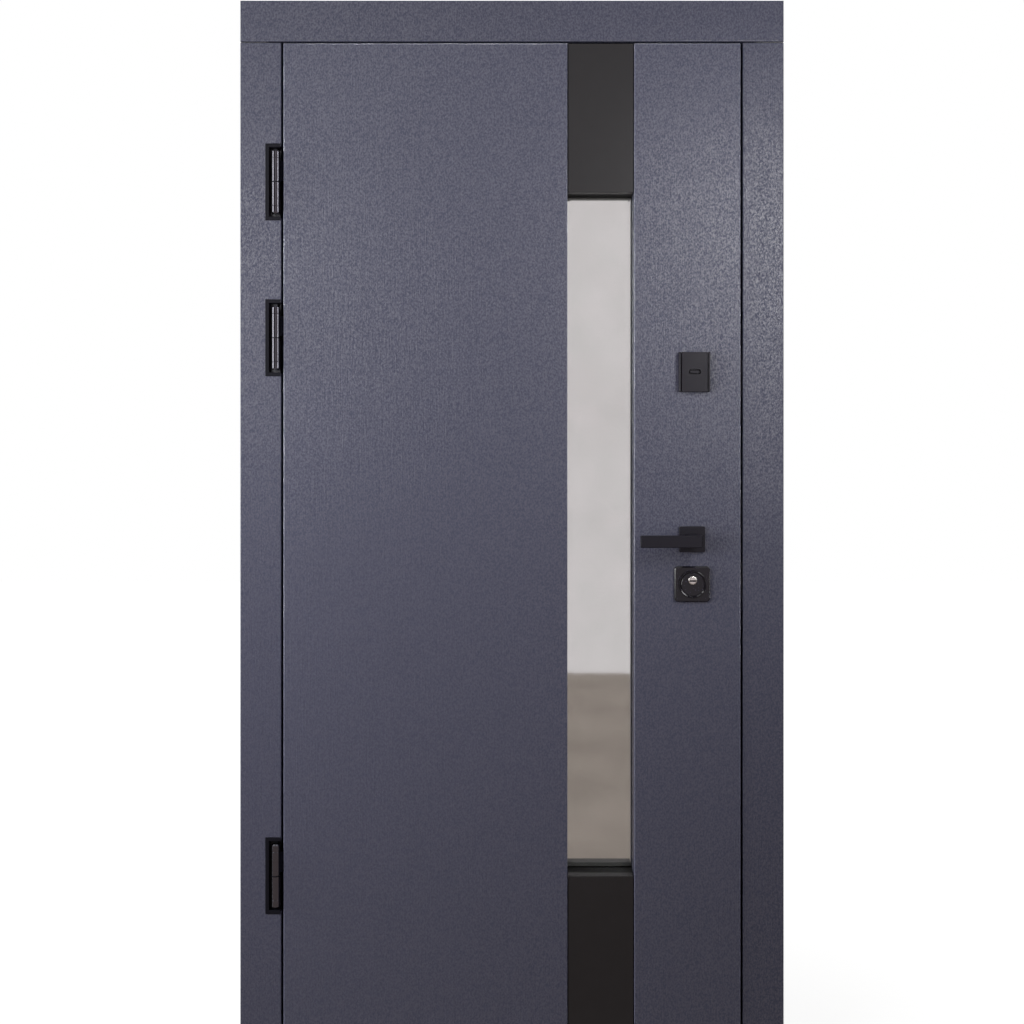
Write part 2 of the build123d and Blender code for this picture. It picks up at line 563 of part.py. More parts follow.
with BuildPart() as outer_lock_panel:
    with BuildSketch(Plane.XZ.offset(-WALL_Y)):
        with Locations(((STRIP_RIGHT + LEAF_X) / 2, (PANEL_TOP + PANEL_BOTTOM) / 2)):
            Rectangle(LEAF_X - STRIP_RIGHT, PANEL_TOP - PANEL_BOTTOM)
    extrude(amount=PANEL_THICK)
    fillet(outer_lock_panel.faces().sort_by(Axis.Y)[0].edges(), EDGE_EASE)
    with BuildSketch(Plane.XZ.offset(-WALL_Y)):
        with Locations((HARDWARE_X, HANDLE_Z)):
            Circle(SPINDLE_HOLE_RADIUS)
    extrude(amount=PANEL_THICK, mode=Mode.SUBTRACT)
outer_lock_panel.part.label = "outer_lock_panel"
export_step(outer_lock_panel.part, "parts/outer_lock_panel.step")


# INSERTS: dark boards above and below the glass, set a little back from the panels
INSERTS = {"top": (PANEL_TOP, GLASS_TOP), "bottom": (GLASS_BOTTOM, PANEL_BOTTOM)}
for where, (high, low) in INSERTS.items():
    with BuildPart() as outer_insert:
        with BuildSketch(Plane.XZ.offset(-WALL_Y)):
            with Locations((STRIP_X, (high + low) / 2)):
                Rectangle(STRIP_WIDTH - 2 * INSERT_GAP, high - low)
        extrude(amount=PANEL_THICK - INSERT_RECESS)
        fillet(outer_insert.faces().sort_by(Axis.Y)[0].edges(), INSERT_EASE)
    outer_insert.part.label = f"outer_{where}_insert"
    export_step(outer_insert.part, f"parts/outer_{where}_insert.step")


# GLAZING: lining bars, gasket, mirror pane, spacer and inner pane stacked in the opening
LINING_SIDES = [
    (STRIP_LEFT - LINING_THICK / 2, GLASS_Z, LINING_THICK, OPENING_HEIGHT),
    (STRIP_RIGHT + LINING_THICK / 2, GLASS_Z, LINING_THICK, OPENING_HEIGHT),
]
LINING_ENDS = [
    (STRIP_X, GLASS_TOP + LINING_THICK / 2, STRIP_WIDTH - 2 * LINING_FIT, LINING_THICK),
    (STRIP_X, GLASS_BOTTOM - LINING_THICK / 2, STRIP_WIDTH - 2 * LINING_FIT, LINING_THICK),
]
with BuildPart() as outer_glazing_lining:
    with BuildSketch(Plane.XZ.offset(-WALL_Y)):
        for bar_x, bar_z, bar_w, bar_h in LINING_SIDES:
            with Locations((bar_x, bar_z)):
                Rectangle(bar_w, bar_h)
    extrude(amount=WALL_Y - GLASS_FRONT)
outer_glazing_lining.part.label = "outer_glazing_lining"
export_step(outer_glazing_lining.part, "parts/outer_glazing_lining.step")

with BuildPart() as outer_lining_ends:
    with BuildSketch(Plane.XZ.offset(-WALL_Y)):
        for bar_x, bar_z, bar_w, bar_h in LINING_ENDS:
            with Locations((bar_x, bar_z)):
                Rectangle(bar_w, bar_h)
    extrude(amount=WALL_Y - GLASS_FRONT)
outer_lining_ends.part.label = "outer_lining_ends"
export_step(outer_lining_ends.part, "parts/outer_lining_ends.step")

with BuildPart() as inner_glazing_lining:
    with BuildSketch(Plane.XZ.offset(-GLASS_BACK)):
        for bar_x, bar_z, bar_w, bar_h in LINING_SIDES + LINING_ENDS:
            with Locations((bar_x, bar_z)):
                Rectangle(bar_w, bar_h)
    extrude(amount=GLASS_BACK - CASING_BACK)
inner_glazing_lining.part.label = "inner_glazing_lining"
export_step(inner_glazing_lining.part, "parts/inner_glazing_lining.step")

# thin bead of sealant in the corner between the mirror and the lining
GASKET_SPAN = STRIP_WIDTH - 2 * GASKET_WIDTH - 2 * LINING_FIT
GASKET_SPOTS = [
    (STRIP_LEFT + GASKET_WIDTH / 2, GLASS_Z, GASKET_WIDTH, GLASS_HEIGHT),
    (STRIP_RIGHT - GASKET_WIDTH / 2, GLASS_Z, GASKET_WIDTH, GLASS_HEIGHT),
    (STRIP_X, GLASS_TOP - GASKET_WIDTH / 2, GASKET_SPAN, GASKET_WIDTH),
    (STRIP_X, GLASS_BOTTOM + GASKET_WIDTH / 2, GASKET_SPAN, GASKET_WIDTH),
]
with BuildPart() as glazing_gasket:
    with BuildSketch(Plane.XZ.offset(-GLASS_FRONT)):
        for bar_x, bar_z, bar_w, bar_h in GASKET_SPOTS:
            with Locations((bar_x, bar_z)):
                Rectangle(bar_w, bar_h)
    extrude(amount=GASKET_DEPTH)
glazing_gasket.part.label = "glazing_gasket"
export_step(glazing_gasket.part, "parts/glazing_gasket.step")

PANE_WIDTH = STRIP_WIDTH + 2 * GLASS_COVER
PANE_HEIGHT = GLASS_HEIGHT + 2 * GLASS_COVER
with BuildPart() as mirror_pane:
    with BuildSketch(Plane.XZ.offset(-GLASS_FRONT)):
        with Locations((STRIP_X, GLASS_Z)):
            Rectangle(PANE_WIDTH, PANE_HEIGHT)
    extrude(amount=-MIRROR_THICK)
mirror_pane.part.label = "mirror_pane"
export_step(mirror_pane.part, "parts/mirror_pane.step")

with BuildPart() as glass_spacer:
    with BuildSketch(Plane.XZ.offset(-MIRROR_BACK)):
        with Locations((STRIP_X, GLASS_Z)):
            Rectangle(PANE_WIDTH - 2 * SPACER_INSET, PANE_HEIGHT - 2 * SPACER_INSET)
            Rectangle(
                PANE_WIDTH - 2 * SPACER_INSET - 2 * SPACER_WIDTH,
                PANE_HEIGHT - 2 * SPACER_INSET - 2 * SPACER_WIDTH,
                mode=Mode.SUBTRACT,
            )
    extrude(amount=-SPACER_THICK)
glass_spacer.part.label = "glass_spacer"
export_step(glass_spacer.part, "parts/glass_spacer.step")

with BuildPart() as inner_pane:
    with BuildSketch(Plane.XZ.offset(-INNER_PANE_FRONT)):
        with Locations((STRIP_X, GLASS_Z)):
            Rectangle(PANE_WIDTH, PANE_HEIGHT)
    extrude(amount=-INNER_GLASS_THICK)
inner_pane.part.label = "inner_pane"
export_step(inner_pane.part, "parts/inner_pane.step")


# INNER PANEL: one board with a window for the glass
with BuildPart() as inner_panel:
    with BuildSketch(Plane.XZ.offset(-CASING_BACK)):
        with Locations((0, (INNER_PANEL_TOP + INNER_PANEL_BOTTOM) / 2)):
            Rectangle(INNER_PANEL_WIDTH, INNER_PANEL_TOP - INNER_PANEL_BOTTOM)
        with Locations((STRIP_X, GLASS_Z)):
            Rectangle(STRIP_WIDTH, GLASS_HEIGHT, mode=Mode.SUBTRACT)
    extrude(amount=-INNER_PANEL_THICK)
    fillet(inner_panel.faces().sort_by(Axis.Y)[-1].edges(), EDGE_EASE)
    with BuildSketch(Plane.XZ.offset(-CASING_BACK)):
        with Locations((HARDWARE_X, HANDLE_Z)):
            Circle(SPINDLE_HOLE_RADIUS)
    extrude(amount=-INNER_PANEL_THICK, mode=Mode.SUBTRACT)
inner_panel.part.label = "inner_panel"
export_step(inner_panel.part, "parts/inner_panel.step")


# LOCK EDGES: forends flush with the casing, bolts and latch drawn back behind them
for where, (mid_z, tall, bolts, bolts_z) in LOCKS.items():
    with BuildPart() as forend:
        with BuildSketch(Plane.YZ.offset(CASING_X)):
            with Locations((FOREND_Y, mid_z)):
                Rectangle(FOREND_WIDTH, tall)
            with Locations(*[(FOREND_Y, z) for z in bolts]):
                Circle(BOLT_RADIUS + BOLT_CLEARANCE, mode=Mode.SUBTRACT)
            if where == "lower":
                with Locations((FOREND_Y, HANDLE_Z)):
                    Rectangle(
                        LATCH_WIDTH + 2 * BOLT_CLEARANCE,
                        LATCH_HEIGHT + 2 * BOLT_CLEARANCE,
                        mode=Mode.SUBTRACT,
                    )
        extrude(amount=-FOREND_THICK)
    forend.part.label = f"{where}_lock_forend"
    export_step(forend.part, f"parts/{where}_lock_forend.step")

with BuildPart() as lock_bolts:
    with BuildSketch(Plane.YZ.offset(CASING_X - BOLT_LENGTH)):
        with Locations(*[(FOREND_Y, z) for z in UPPER_BOLTS + LOWER_BOLTS]):
            Circle(BOLT_RADIUS)
    extrude(amount=BOLT_LENGTH)
lock_bolts.part.label = "lock_bolts"
export_step(lock_bolts.part, "parts/lock_bolts.step")

with BuildPart() as latch_bolt:
    with BuildSketch(Plane.YZ.offset(CASING_X - BOLT_LENGTH)):
        with Locations((FOREND_Y, HANDLE_Z)):
            Rectangle(LATCH_WIDTH, LATCH_HEIGHT)
    extrude(amount=BOLT_LENGTH)
latch_bolt.part.label = "latch_bolt"
export_step(latch_bolt.part, "parts/latch_bolt.step")


# LEVER HANDLES: square rose and flat lever on each face, joined by a square spindle
SIDES = {"outer": (PANEL_FRONT, 1), "inner": (INNER_FACE, -1)}
for side, (face_y, out) in SIDES.items():
    with BuildPart() as handle_rose:
        with BuildSketch(Plane.XZ.offset(-face_y)):
            with Locations((HARDWARE_X, HANDLE_Z)):
                Rectangle(ROSE_SIZE, ROSE_SIZE)
        extrude(amount=out * ROSE_THICK)
        chamfer(handle_rose.edges().filter_by(Axis.Y), ROSE_CORNER)
        front = handle_rose.faces().sort_by(Axis.Y)[0 if out > 0 else -1]
        chamfer(front.edges(), ROSE_EASE)
        with BuildSketch(Plane.XZ.offset(-face_y)):
            with Locations((HARDWARE_X, HANDLE_Z)):
                Circle(BOSS_RADIUS + BOSS_CLEARANCE)
        extrude(amount=out * ROSE_THICK, mode=Mode.SUBTRACT)
    handle_rose.part.label = f"{side}_handle_rose"
    export_step(handle_rose.part, f"parts/{side}_handle_rose.step")

    with BuildPart() as lever:
        # flat bar
        with BuildSketch(Plane.XZ.offset(-face_y + out * LEVER_STANDOFF)):
            with Locations((HARDWARE_X + (LEVER_HEEL - LEVER_REACH) / 2, HANDLE_Z)):
                Rectangle(LEVER_REACH + LEVER_HEEL, LEVER_HEIGHT)
        extrude(amount=out * LEVER_THICK)
        chamfer(lever.edges(), LEVER_EASE)
        # square neck from the rose to the bar
        with BuildSketch(Plane.XZ.offset(-face_y + out * (ROSE_THICK + NECK_GAP))):
            with Locations((HARDWARE_X, HANDLE_Z)):
                RectangleRounded(NECK_WIDTH, NECK_HEIGHT, LEVER_EASE)
        extrude(amount=out * (LEVER_STANDOFF - ROSE_THICK - NECK_GAP + LEVER_THICK / 2))
        # round boss that turns in the rose
        with BuildSketch(Plane.XZ.offset(-face_y + out * (ROSE_THICK - BOSS_ENTRY))):
            with Locations((HARDWARE_X, HANDLE_Z)):
                Circle(BOSS_RADIUS)
        extrude(amount=out * (BOSS_ENTRY + NECK_GAP + LEVER_EASE))
    lever.part.label = f"{side}_lever"
    export_step(lever.part, f"parts/{side}_lever.step")

SPINDLE_FRONT = PANEL_FRONT - ROSE_THICK + BOSS_ENTRY
SPINDLE_BACK = INNER_FACE + ROSE_THICK - BOSS_ENTRY
with BuildPart() as handle_spindle:
    with BuildSketch(Plane.XZ.offset(-SPINDLE_FRONT)):
        with Locations((HARDWARE_X, HANDLE_Z)):
            Rectangle(SPINDLE_SIDE, SPINDLE_SIDE)
    extrude(amount=SPINDLE_FRONT - SPINDLE_BACK)
handle_spindle.part.label = "handle_spindle"
export_step(handle_spindle.part, "parts/handle_spindle.step")


# UPPER KEYHOLE GUARD: base with grooved side rails, and a shutter that slides up between them
SHUTTER_WIDTH = GUARD_WIDTH - 2 * GUARD_RAIL - 2 * SHUTTER_FIT
TONGUE_Y = PANEL_FRONT - GUARD_BASE - (GUARD_THICK - GUARD_BASE) / 2
with BuildPart() as keyhole_guard:
    with BuildSketch(Plane.XZ.offset(-PANEL_FRONT)):
        with Locations((KEYHOLE_X, KEYHOLE_Z)):
            Rectangle(GUARD_WIDTH, GUARD_HEIGHT)
    extrude(amount=GUARD_THICK)
    chamfer(keyhole_guard.edges().filter_by(Axis.Y), GUARD_CORNER)
    chamfer(keyhole_guard.faces().sort_by(Axis.Y)[0].edges(), GUARD_EASE)
    # channel between the rails, with a groove in each rail for the shutter's tongues
    with BuildSketch(Plane.XZ.offset(-PANEL_FRONT + GUARD_BASE)):
        with Locations((KEYHOLE_X, KEYHOLE_Z)):
            Rectangle(GUARD_WIDTH - 2 * GUARD_RAIL, GUARD_HEIGHT + 2 * CHANNEL_OVERRUN)
    extrude(amount=GUARD_THICK, mode=Mode.SUBTRACT)
    with BuildSketch(Plane.XZ.offset(-TONGUE_Y - SHUTTER_TONGUE_HEIGHT / 2 - SHUTTER_FIT)):
        with Locations((KEYHOLE_X, KEYHOLE_Z)):
            Rectangle(
                SHUTTER_WIDTH + 2 * SHUTTER_TONGUE + 2 * SHUTTER_FIT,
                GUARD_HEIGHT + 2 * CHANNEL_OVERRUN,
            )
    extrude(amount=SHUTTER_TONGUE_HEIGHT + 2 * SHUTTER_FIT, mode=Mode.SUBTRACT)
    # upright keyhole low on the base, covered while the shutter is down
    with BuildSketch(Plane.XZ.offset(-PANEL_FRONT + GUARD_BASE)):
        with Locations((KEYHOLE_X, KEYHOLE_Z - KEYHOLE_DROP)):
            SlotOverall(KEYHOLE_LENGTH, KEYHOLE_WIDTH, rotation=90)
    extrude(amount=-KEYHOLE_DEPTH, mode=Mode.SUBTRACT)
keyhole_guard.part.label = "keyhole_guard"
export_step(keyhole_guard.part, "parts/keyhole_guard.step")

SHUTTER_BACK = PANEL_FRONT - GUARD_BASE - SHUTTER_FIT
SHUTTER_FRONT = PANEL_FRONT - GUARD_THICK + SHUTTER_BELOW_RAIL
with BuildPart() as keyhole_shutter:
    with BuildSketch(Plane.XZ.offset(-SHUTTER_BACK)):
        with Locations((KEYHOLE_X, KEYHOLE_Z)):
            Rectangle(SHUTTER_WIDTH, GUARD_HEIGHT)
    extrude(amount=SHUTTER_BACK - SHUTTER_FRONT)
    chamfer(keyhole_shutter.faces().sort_by(Axis.Y)[0].edges(), GUARD_EASE)
    with BuildSketch(Plane.XZ.offset(-TONGUE_Y - SHUTTER_TONGUE_HEIGHT / 2)):
        with Locations((KEYHOLE_X, KEYHOLE_Z)):
            Rectangle(SHUTTER_WIDTH + 2 * SHUTTER_TONGUE, GUARD_HEIGHT)
    extrude(amount=SHUTTER_TONGUE_HEIGHT)
    # shallow thumb recess in the face
    with BuildSketch(Plane.XZ.offset(-SHUTTER_FRONT)):
        with Locations((KEYHOLE_X, KEYHOLE_Z)):
            SlotOverall(THUMB_SLOT_LENGTH, THUMB_SLOT_WIDTH)
    extrude(amount=-THUMB_SLOT_DEPTH, mode=Mode.SUBTRACT)
    # low thumb grip that stands in the recess
    with BuildSketch(Plane.XZ.offset(-SHUTTER_FRONT - THUMB_SLOT_DEPTH)):
        with Locations((KEYHOLE_X, KEYHOLE_Z)):
            SlotOverall(THUMB_SLOT_LENGTH - 2 * THUMB_BUTTON_RIM, THUMB_SLOT_WIDTH - 2 * THUMB_BUTTON_RIM)
    extrude(amount=THUMB_SLOT_DEPTH - THUMB_BUTTON_SINK)
keyhole_shutter.part.label = "keyhole_shutter"
export_step(keyhole_shutter.part, "parts/keyhole_shutter.step")

with BuildPart() as inner_keyhole_plate:
    with BuildSketch(Plane.XZ.offset(-INNER_FACE)):
        with Locations((KEYHOLE_X, KEYHOLE_Z)):
            Rectangle(INNER_PLATE_WIDTH, INNER_PLATE_HEIGHT)
    extrude(amount=-INNER_PLATE_THICK)
    chamfer(inner_keyhole_plate.edges().filter_by(Axis.Y), ROSE_CORNER)
    chamfer(inner_keyhole_plate.faces().sort_by(Axis.Y)[-1].edges(), ROSE_EASE)
    with BuildSketch(Plane.XZ.offset(-INNER_FACE - INNER_PLATE_THICK)):
        with Locations((KEYHOLE_X, KEYHOLE_Z)):
            SlotOverall(KEYHOLE_LENGTH, KEYHOLE_WIDTH, rotation=90)
    extrude(amount=KEYHOLE_DEPTH, mode=Mode.SUBTRACT)
inner_keyhole_plate.part.label = "inner_keyhole_plate"
export_step(inner_keyhole_plate.part, "parts/inner_keyhole_plate.step")


# CYLINDER LOCK: square plate, round guard with a grooved disc, and the cylinder's nose
PLATE_FRONT = PANEL_FRONT - PLATE_THICK
GUARD_FRONT = PLATE_FRONT - CYLINDER_GUARD_RISE
PLUG_Z = CYLINDER_PLATE_Z + PLUG_ABOVE_PLATE
with BuildPart() as cylinder_plate:
    with BuildSketch(Plane.XZ.offset(-PANEL_FRONT)):
        with Locations((HARDWARE_X, CYLINDER_PLATE_Z)):
            RectangleRounded(PLATE_SIZE, PLATE_SIZE, PLATE_CORNER)
    extrude(amount=PLATE_THICK)
    chamfer(cylinder_plate.faces().sort_by(Axis.Y)[0].edges(), PLATE_EASE)
cylinder_plate.part.label = "cylinder_plate"
export_step(cylinder_plate.part, "parts/cylinder_plate.step")

SLOPE_TOP = CYLINDER_GUARD_RADIUS - GUARD_RIM
SLOPE_FOOT = SLOPE_TOP - GUARD_SLOPE
DISC_RADIUS = SLOPE_FOOT - GUARD_GROOVE
GROOVE_FLOOR = CYLINDER_GUARD_RISE - GUARD_SLOPE_DEPTH
GUARD_AXIS = Axis((HARDWARE_X, PLATE_FRONT, CYLINDER_PLATE_Z), (0, -1, 0))
with BuildPart() as cylinder_guard:
    # half profile: rim, slope into a groove, and a flat disc inside it
    with BuildSketch(Plane(GUARD_AXIS.position, x_dir=(1, 0, 0), z_dir=(0, 0, -1))):
        with BuildLine():
            Polyline(
                (0, 0),
                (CYLINDER_GUARD_RADIUS, 0),
                (CYLINDER_GUARD_RADIUS, CYLINDER_GUARD_RISE),
                (SLOPE_TOP, CYLINDER_GUARD_RISE),
                (SLOPE_FOOT, GROOVE_FLOOR),
                (DISC_RADIUS, GROOVE_FLOOR),
                (DISC_RADIUS, CYLINDER_GUARD_RISE - GUARD_DISC_EASE),
                (DISC_RADIUS - GUARD_DISC_EASE, CYLINDER_GUARD_RISE),
                (0, CYLINDER_GUARD_RISE),
                close=True,
            )
        make_face()
    revolve(axis=GUARD_AXIS)
    with BuildSketch(Plane.XZ.offset(-PLATE_FRONT)):
        with Locations((HARDWARE_X, PLUG_Z)):
            Circle(PLUG_RADIUS + PLUG_FIT)
    extrude(amount=CYLINDER_GUARD_RISE, mode=Mode.SUBTRACT)
cylinder_guard.part.label = "cylinder_guard"
export_step(cylinder_guard.part, "parts/cylinder_guard.step")

with BuildPart() as lock_cylinder:
    with BuildSketch(Plane.XZ.offset(-PLATE_FRONT)):
        with Locations((HARDWARE_X, PLUG_Z)):
            Circle(PLUG_RADIUS)
    extrude(amount=CYLINDER_GUARD_RISE + PLUG_PROUD)
    chamfer(lock_cylinder.faces().sort_by(Axis.Y)[0].edges(), PLUG_EASE)
    with BuildSketch(Plane.XZ.offset(-GUARD_FRONT + PLUG_PROUD)):
        with Locations((HARDWARE_X, PLUG_Z)):
            Rectangle(KEYWAY_LENGTH, KEYWAY_WIDTH)
    extrude(amount=-KEYWAY_DEPTH, mode=Mode.SUBTRACT)
lock_cylinder.part.label = "lock_cylinder"
export_step(lock_cylinder.part, "parts/lock_cylinder.step")

with BuildPart() as inner_cylinder_rose:
    with BuildSketch(Plane.XZ.offset(-INNER_FACE)):
        with Locations((HARDWARE_X, PLUG_Z)):
            Rectangle(ROSE_SIZE, ROSE_SIZE)
    extrude(amount=-ROSE_THICK)
    chamfer(inner_cylinder_rose.edges().filter_by(Axis.Y), ROSE_CORNER)
    chamfer(inner_cylinder_rose.faces().sort_by(Axis.Y)[-1].edges(), ROSE_EASE)
inner_cylinder_rose.part.label = "inner_cylinder_rose"
export_step(inner_cylinder_rose.part, "parts/inner_cylinder_rose.step")

with BuildPart() as thumb_turn:
    with BuildSketch(Plane.XZ.offset(-INNER_FACE - ROSE_THICK - TURN_STANDOFF)):
        with Locations((HARDWARE_X, PLUG_Z)):
            Rectangle(TURN_WIDTH, TURN_HEIGHT)
    extrude(amount=-TURN_THICK)
    chamfer(thumb_turn.edges().filter_by(Axis.Y), TURN_CORNER)
    chamfer(thumb_turn.faces().sort_by(Axis.Y)[-1].edges(), ROSE_EASE)
    with BuildSketch(Plane.XZ.offset(-INNER_FACE - ROSE_THICK)):
        with Locations((HARDWARE_X, PLUG_Z)):
            Circle(TURN_STEM_RADIUS)
    extrude(amount=-TURN_STANDOFF)
thumb_turn.part.label = "thumb_turn"
export_step(thumb_turn.part, "parts/thumb_turn.step")
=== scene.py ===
# %% [markdown]
# A steel-cased entrance door stands in its frame, closed, seen from the street side.
# The CAD model gives every piece its true size and place in metres: X to the right,
# Y into the building, Z up. This lesson dresses that model. Most CAD pieces keep their
# shape and get a better finish, and the small pieces of furniture that catch the light
# are modelled again with softer edges.

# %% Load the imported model
import bmesh
import bpy
import json
import math
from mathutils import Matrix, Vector


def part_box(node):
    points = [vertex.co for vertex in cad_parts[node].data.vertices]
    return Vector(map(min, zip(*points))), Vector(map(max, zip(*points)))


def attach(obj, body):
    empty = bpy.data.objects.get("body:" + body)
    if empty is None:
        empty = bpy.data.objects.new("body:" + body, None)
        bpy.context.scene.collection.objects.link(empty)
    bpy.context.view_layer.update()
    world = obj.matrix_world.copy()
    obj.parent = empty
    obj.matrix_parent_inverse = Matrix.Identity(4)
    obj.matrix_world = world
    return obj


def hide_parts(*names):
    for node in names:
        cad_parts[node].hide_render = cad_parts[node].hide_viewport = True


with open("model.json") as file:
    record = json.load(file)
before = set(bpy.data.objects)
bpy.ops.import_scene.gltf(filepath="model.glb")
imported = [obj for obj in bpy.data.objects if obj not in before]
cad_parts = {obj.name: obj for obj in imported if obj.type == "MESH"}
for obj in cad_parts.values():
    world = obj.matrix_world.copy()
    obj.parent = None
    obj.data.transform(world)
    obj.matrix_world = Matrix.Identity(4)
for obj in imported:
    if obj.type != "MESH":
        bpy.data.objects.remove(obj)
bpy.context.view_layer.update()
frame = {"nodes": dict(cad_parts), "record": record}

# %% [markdown]
# The picture is square and looks straight at the door, level, with upright edges kept
# upright. A level camera with a lens shift does that, as a view camera does: tilting
# it down would make the sides of the door lean. The distance sets how much of the
# deep glass recess shows.

# %% Camera
MM = 0.001
FRONT_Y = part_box("outer_hinge_panel")[0][1]
VIEW_WIDTH = 1.9937
VIEW_MIDDLE_Z = 1.1026
CAMERA_AWAY = 2.30
CAMERA_Z = 1.28
SENSOR = 36.0

camera_data = bpy.data.cameras.new("front_camera")
camera_data.sensor_width = SENSOR
camera_data.lens = SENSOR * CAMERA_AWAY / VIEW_WIDTH
camera_data.shift_y = (VIEW_MIDDLE_Z - CAMERA_Z) / VIEW_WIDTH
camera = bpy.data.objects.new("front_camera", camera_data)
camera.location = (0.0, FRONT_Y - CAMERA_AWAY, CAMERA_Z)
camera.rotation_euler = (math.radians(90), 0, 0)
bpy.context.scene.collection.objects.link(camera)
bpy.context.scene.camera = camera
bpy.context.scene.view_settings.view_transform = "Standard"
print("lens", round(camera_data.lens, 1), "mm, shift", round(camera_data.shift_y, 4))

# %% [markdown]
# Colours are written as sRGB hex values, the way a paint chart gives them. Shaders
# want linear light, so one function converts them. A second small function adds a
# node, sets its values and links its inputs, so each material reads as a short list.

# %% Colour and node helpers
def colour(code):
    parts = [int(code[i:i + 2], 16) / 255 for i in (1, 3, 5)]
    linear = [p / 12.92 if p <= 0.04045 else ((p + 0.055) / 1.055) ** 2.4 for p in parts]
    return (*linear, 1.0)


def add(tree, kind, inputs=None, **settings):
    made = tree.nodes.new(kind)
    for key, value in settings.items():
        setattr(made, key, value)
    for socket, value in (inputs or {}).items():
        if isinstance(value, bpy.types.NodeSocket):
            tree.links.new(value, made.inputs[socket])
        else:
            made.inputs[socket].default_value = value
    return made


def new_material(name):
    material = bpy.data.materials.new(name)
    material.use_nodes = True
    tree = material.node_tree
    shader = tree.nodes["Principled BSDF"]
    place = add(tree, "ShaderNodeTexCoord").outputs["Object"]
    return material, tree, shader, place


MIX_FACTOR, MIX_A, MIX_B, MIX_OUT = 0, 6, 7, 2
finishes = {}
print("white in linear light:", colour("#ffffff"))

# %% [markdown]
# The studio is a plain pale floor and a white background. The background is white only
# where the camera, a mirror or glass looks at it, so it adds no light to the door.
# The floor is pale paint that glows for those same rays. Near the door it keeps the
# soft shadow, and further away it fades into the white. White lamps on a white wall
# would do it too, but they would also wash out the dark boards.

# %% Floor and background
def seen_rays(tree):
    rays = add(tree, "ShaderNodeLightPath").outputs
    seen = add(tree, "ShaderNodeMath", {0: rays["Is Camera Ray"], 1: rays["Is Glossy Ray"]},
        operation="MAXIMUM")
    seen = add(tree, "ShaderNodeMath", {0: seen.outputs[0], 1: rays["Is Transmission Ray"]},
        operation="MAXIMUM")
    return seen.outputs[0]


AMBIENT = 0.018
world = bpy.data.worlds.new("white_studio")
bpy.context.scene.world = world
world.use_nodes = True
sky = world.node_tree
level = add(sky, "ShaderNodeMapRange", {"Value": seen_rays(sky), "To Min": AMBIENT, "To Max": 1.0})
sky.links.new(level.outputs[0], sky.nodes["Background"].inputs["Strength"])
sky.nodes["Background"].inputs["Color"].default_value = colour("#ffffff")

bpy.ops.object.select_all(action="DESELECT")
FLOOR_SIZE = 14.0
FLOOR_DROP = 0.5 * MM
bpy.ops.mesh.primitive_plane_add(size=FLOOR_SIZE, location=(0, 0, -FLOOR_DROP))
floor = bpy.context.active_object
floor.name = "studio_floor"
paint, tree, shader, place = new_material("pale_floor_paint")
FLOOR_GLOW = 0.82
FADE_FROM = 0.5
FADE_TO = 1.3
away = add(tree, "ShaderNodeVectorMath", {0: place}, operation="LENGTH")
fade = add(tree, "ShaderNodeMapRange", {"Value": away.outputs["Value"], "From Min": FADE_FROM,
    "From Max": FADE_TO}, interpolation_type="SMOOTHSTEP")
level = add(tree, "ShaderNodeMapRange", {"Value": fade.outputs[0], "To Min": FLOOR_GLOW, "To Max": 1.0})
glow = add(tree, "ShaderNodeMath", {0: seen_rays(tree), 1: level.outputs[0]}, operation="MULTIPLY")
tint = add(tree, "ShaderNodeMix", {MIX_FACTOR: fade.outputs[0], MIX_A: colour("#a6a6a4"),
    MIX_B: colour("#000000")}, data_type="RGBA")
tree.links.new(tint.outputs[MIX_OUT], shader.inputs["Base Color"])
shader.inputs["Roughness"].default_value = 0.9
shader.inputs["Emission Color"].default_value = colour("#ffffff")
tree.links.new(glow.outputs[0], shader.inputs["Emission Strength"])
floor.data.materials.append(paint)
print("floor", tuple(round(v, 1) for v in floor.dimensions))

# %% [markdown]
# The mirror strip shows what stands in front of the door: a pale cloth wall above and
# a warm grey concrete floor below. Two cards stand for that room, and a dim hall
# closes it round, so the dark finishes don't reflect the white background everywhere.
# The cards glow by themselves, are seen only in reflections, and light nothing. On the
# wall card a noise paints the shade of the cloth's folds, and a painted falloff dims the
# glow away from the part the mirror sees. A whole furnished room would give the same
# picture at far more work.

# %% The room in the mirror
WALL_AWAY = 3.59
WALL_Y = FRONT_Y - WALL_AWAY
ROOM_HALF_WIDTH = 5.0
ROOM_HEIGHT = 4.5
CARD_GAP = 0.05
CARD_LIFT = 1 * MM
ROOM_DEPTH = FRONT_Y - CARD_GAP - WALL_Y
FACING = 0.99


def glow_only(tree, shader, tint):
    shader.inputs["Base Color"].default_value = colour("#000000")
    shader.inputs["Specular IOR Level"].default_value = 0.0
    shader.inputs["Emission Strength"].default_value = 1.0
    tree.links.new(tint.outputs[MIX_OUT], shader.inputs["Emission Color"])


def hide_from_light(card):
    card.visible_camera = False
    card.visible_diffuse = False
    card.visible_shadow = False


bpy.ops.object.select_all(action="DESELECT")
bpy.ops.mesh.primitive_plane_add(size=1.0, location=(0, WALL_Y, ROOM_HEIGHT / 2),
    rotation=(math.radians(90), 0, 0))
wall_card = bpy.context.active_object
wall_card.name = "reflected_wall"
wall_card.scale = (2 * ROOM_HALF_WIDTH, ROOM_HEIGHT, 1)
bpy.ops.object.transform_apply(location=True, rotation=True, scale=True)
cloth, tree, shader, place = new_material("pale_cloth_wall")
FOLD_SIZE = 600 * MM
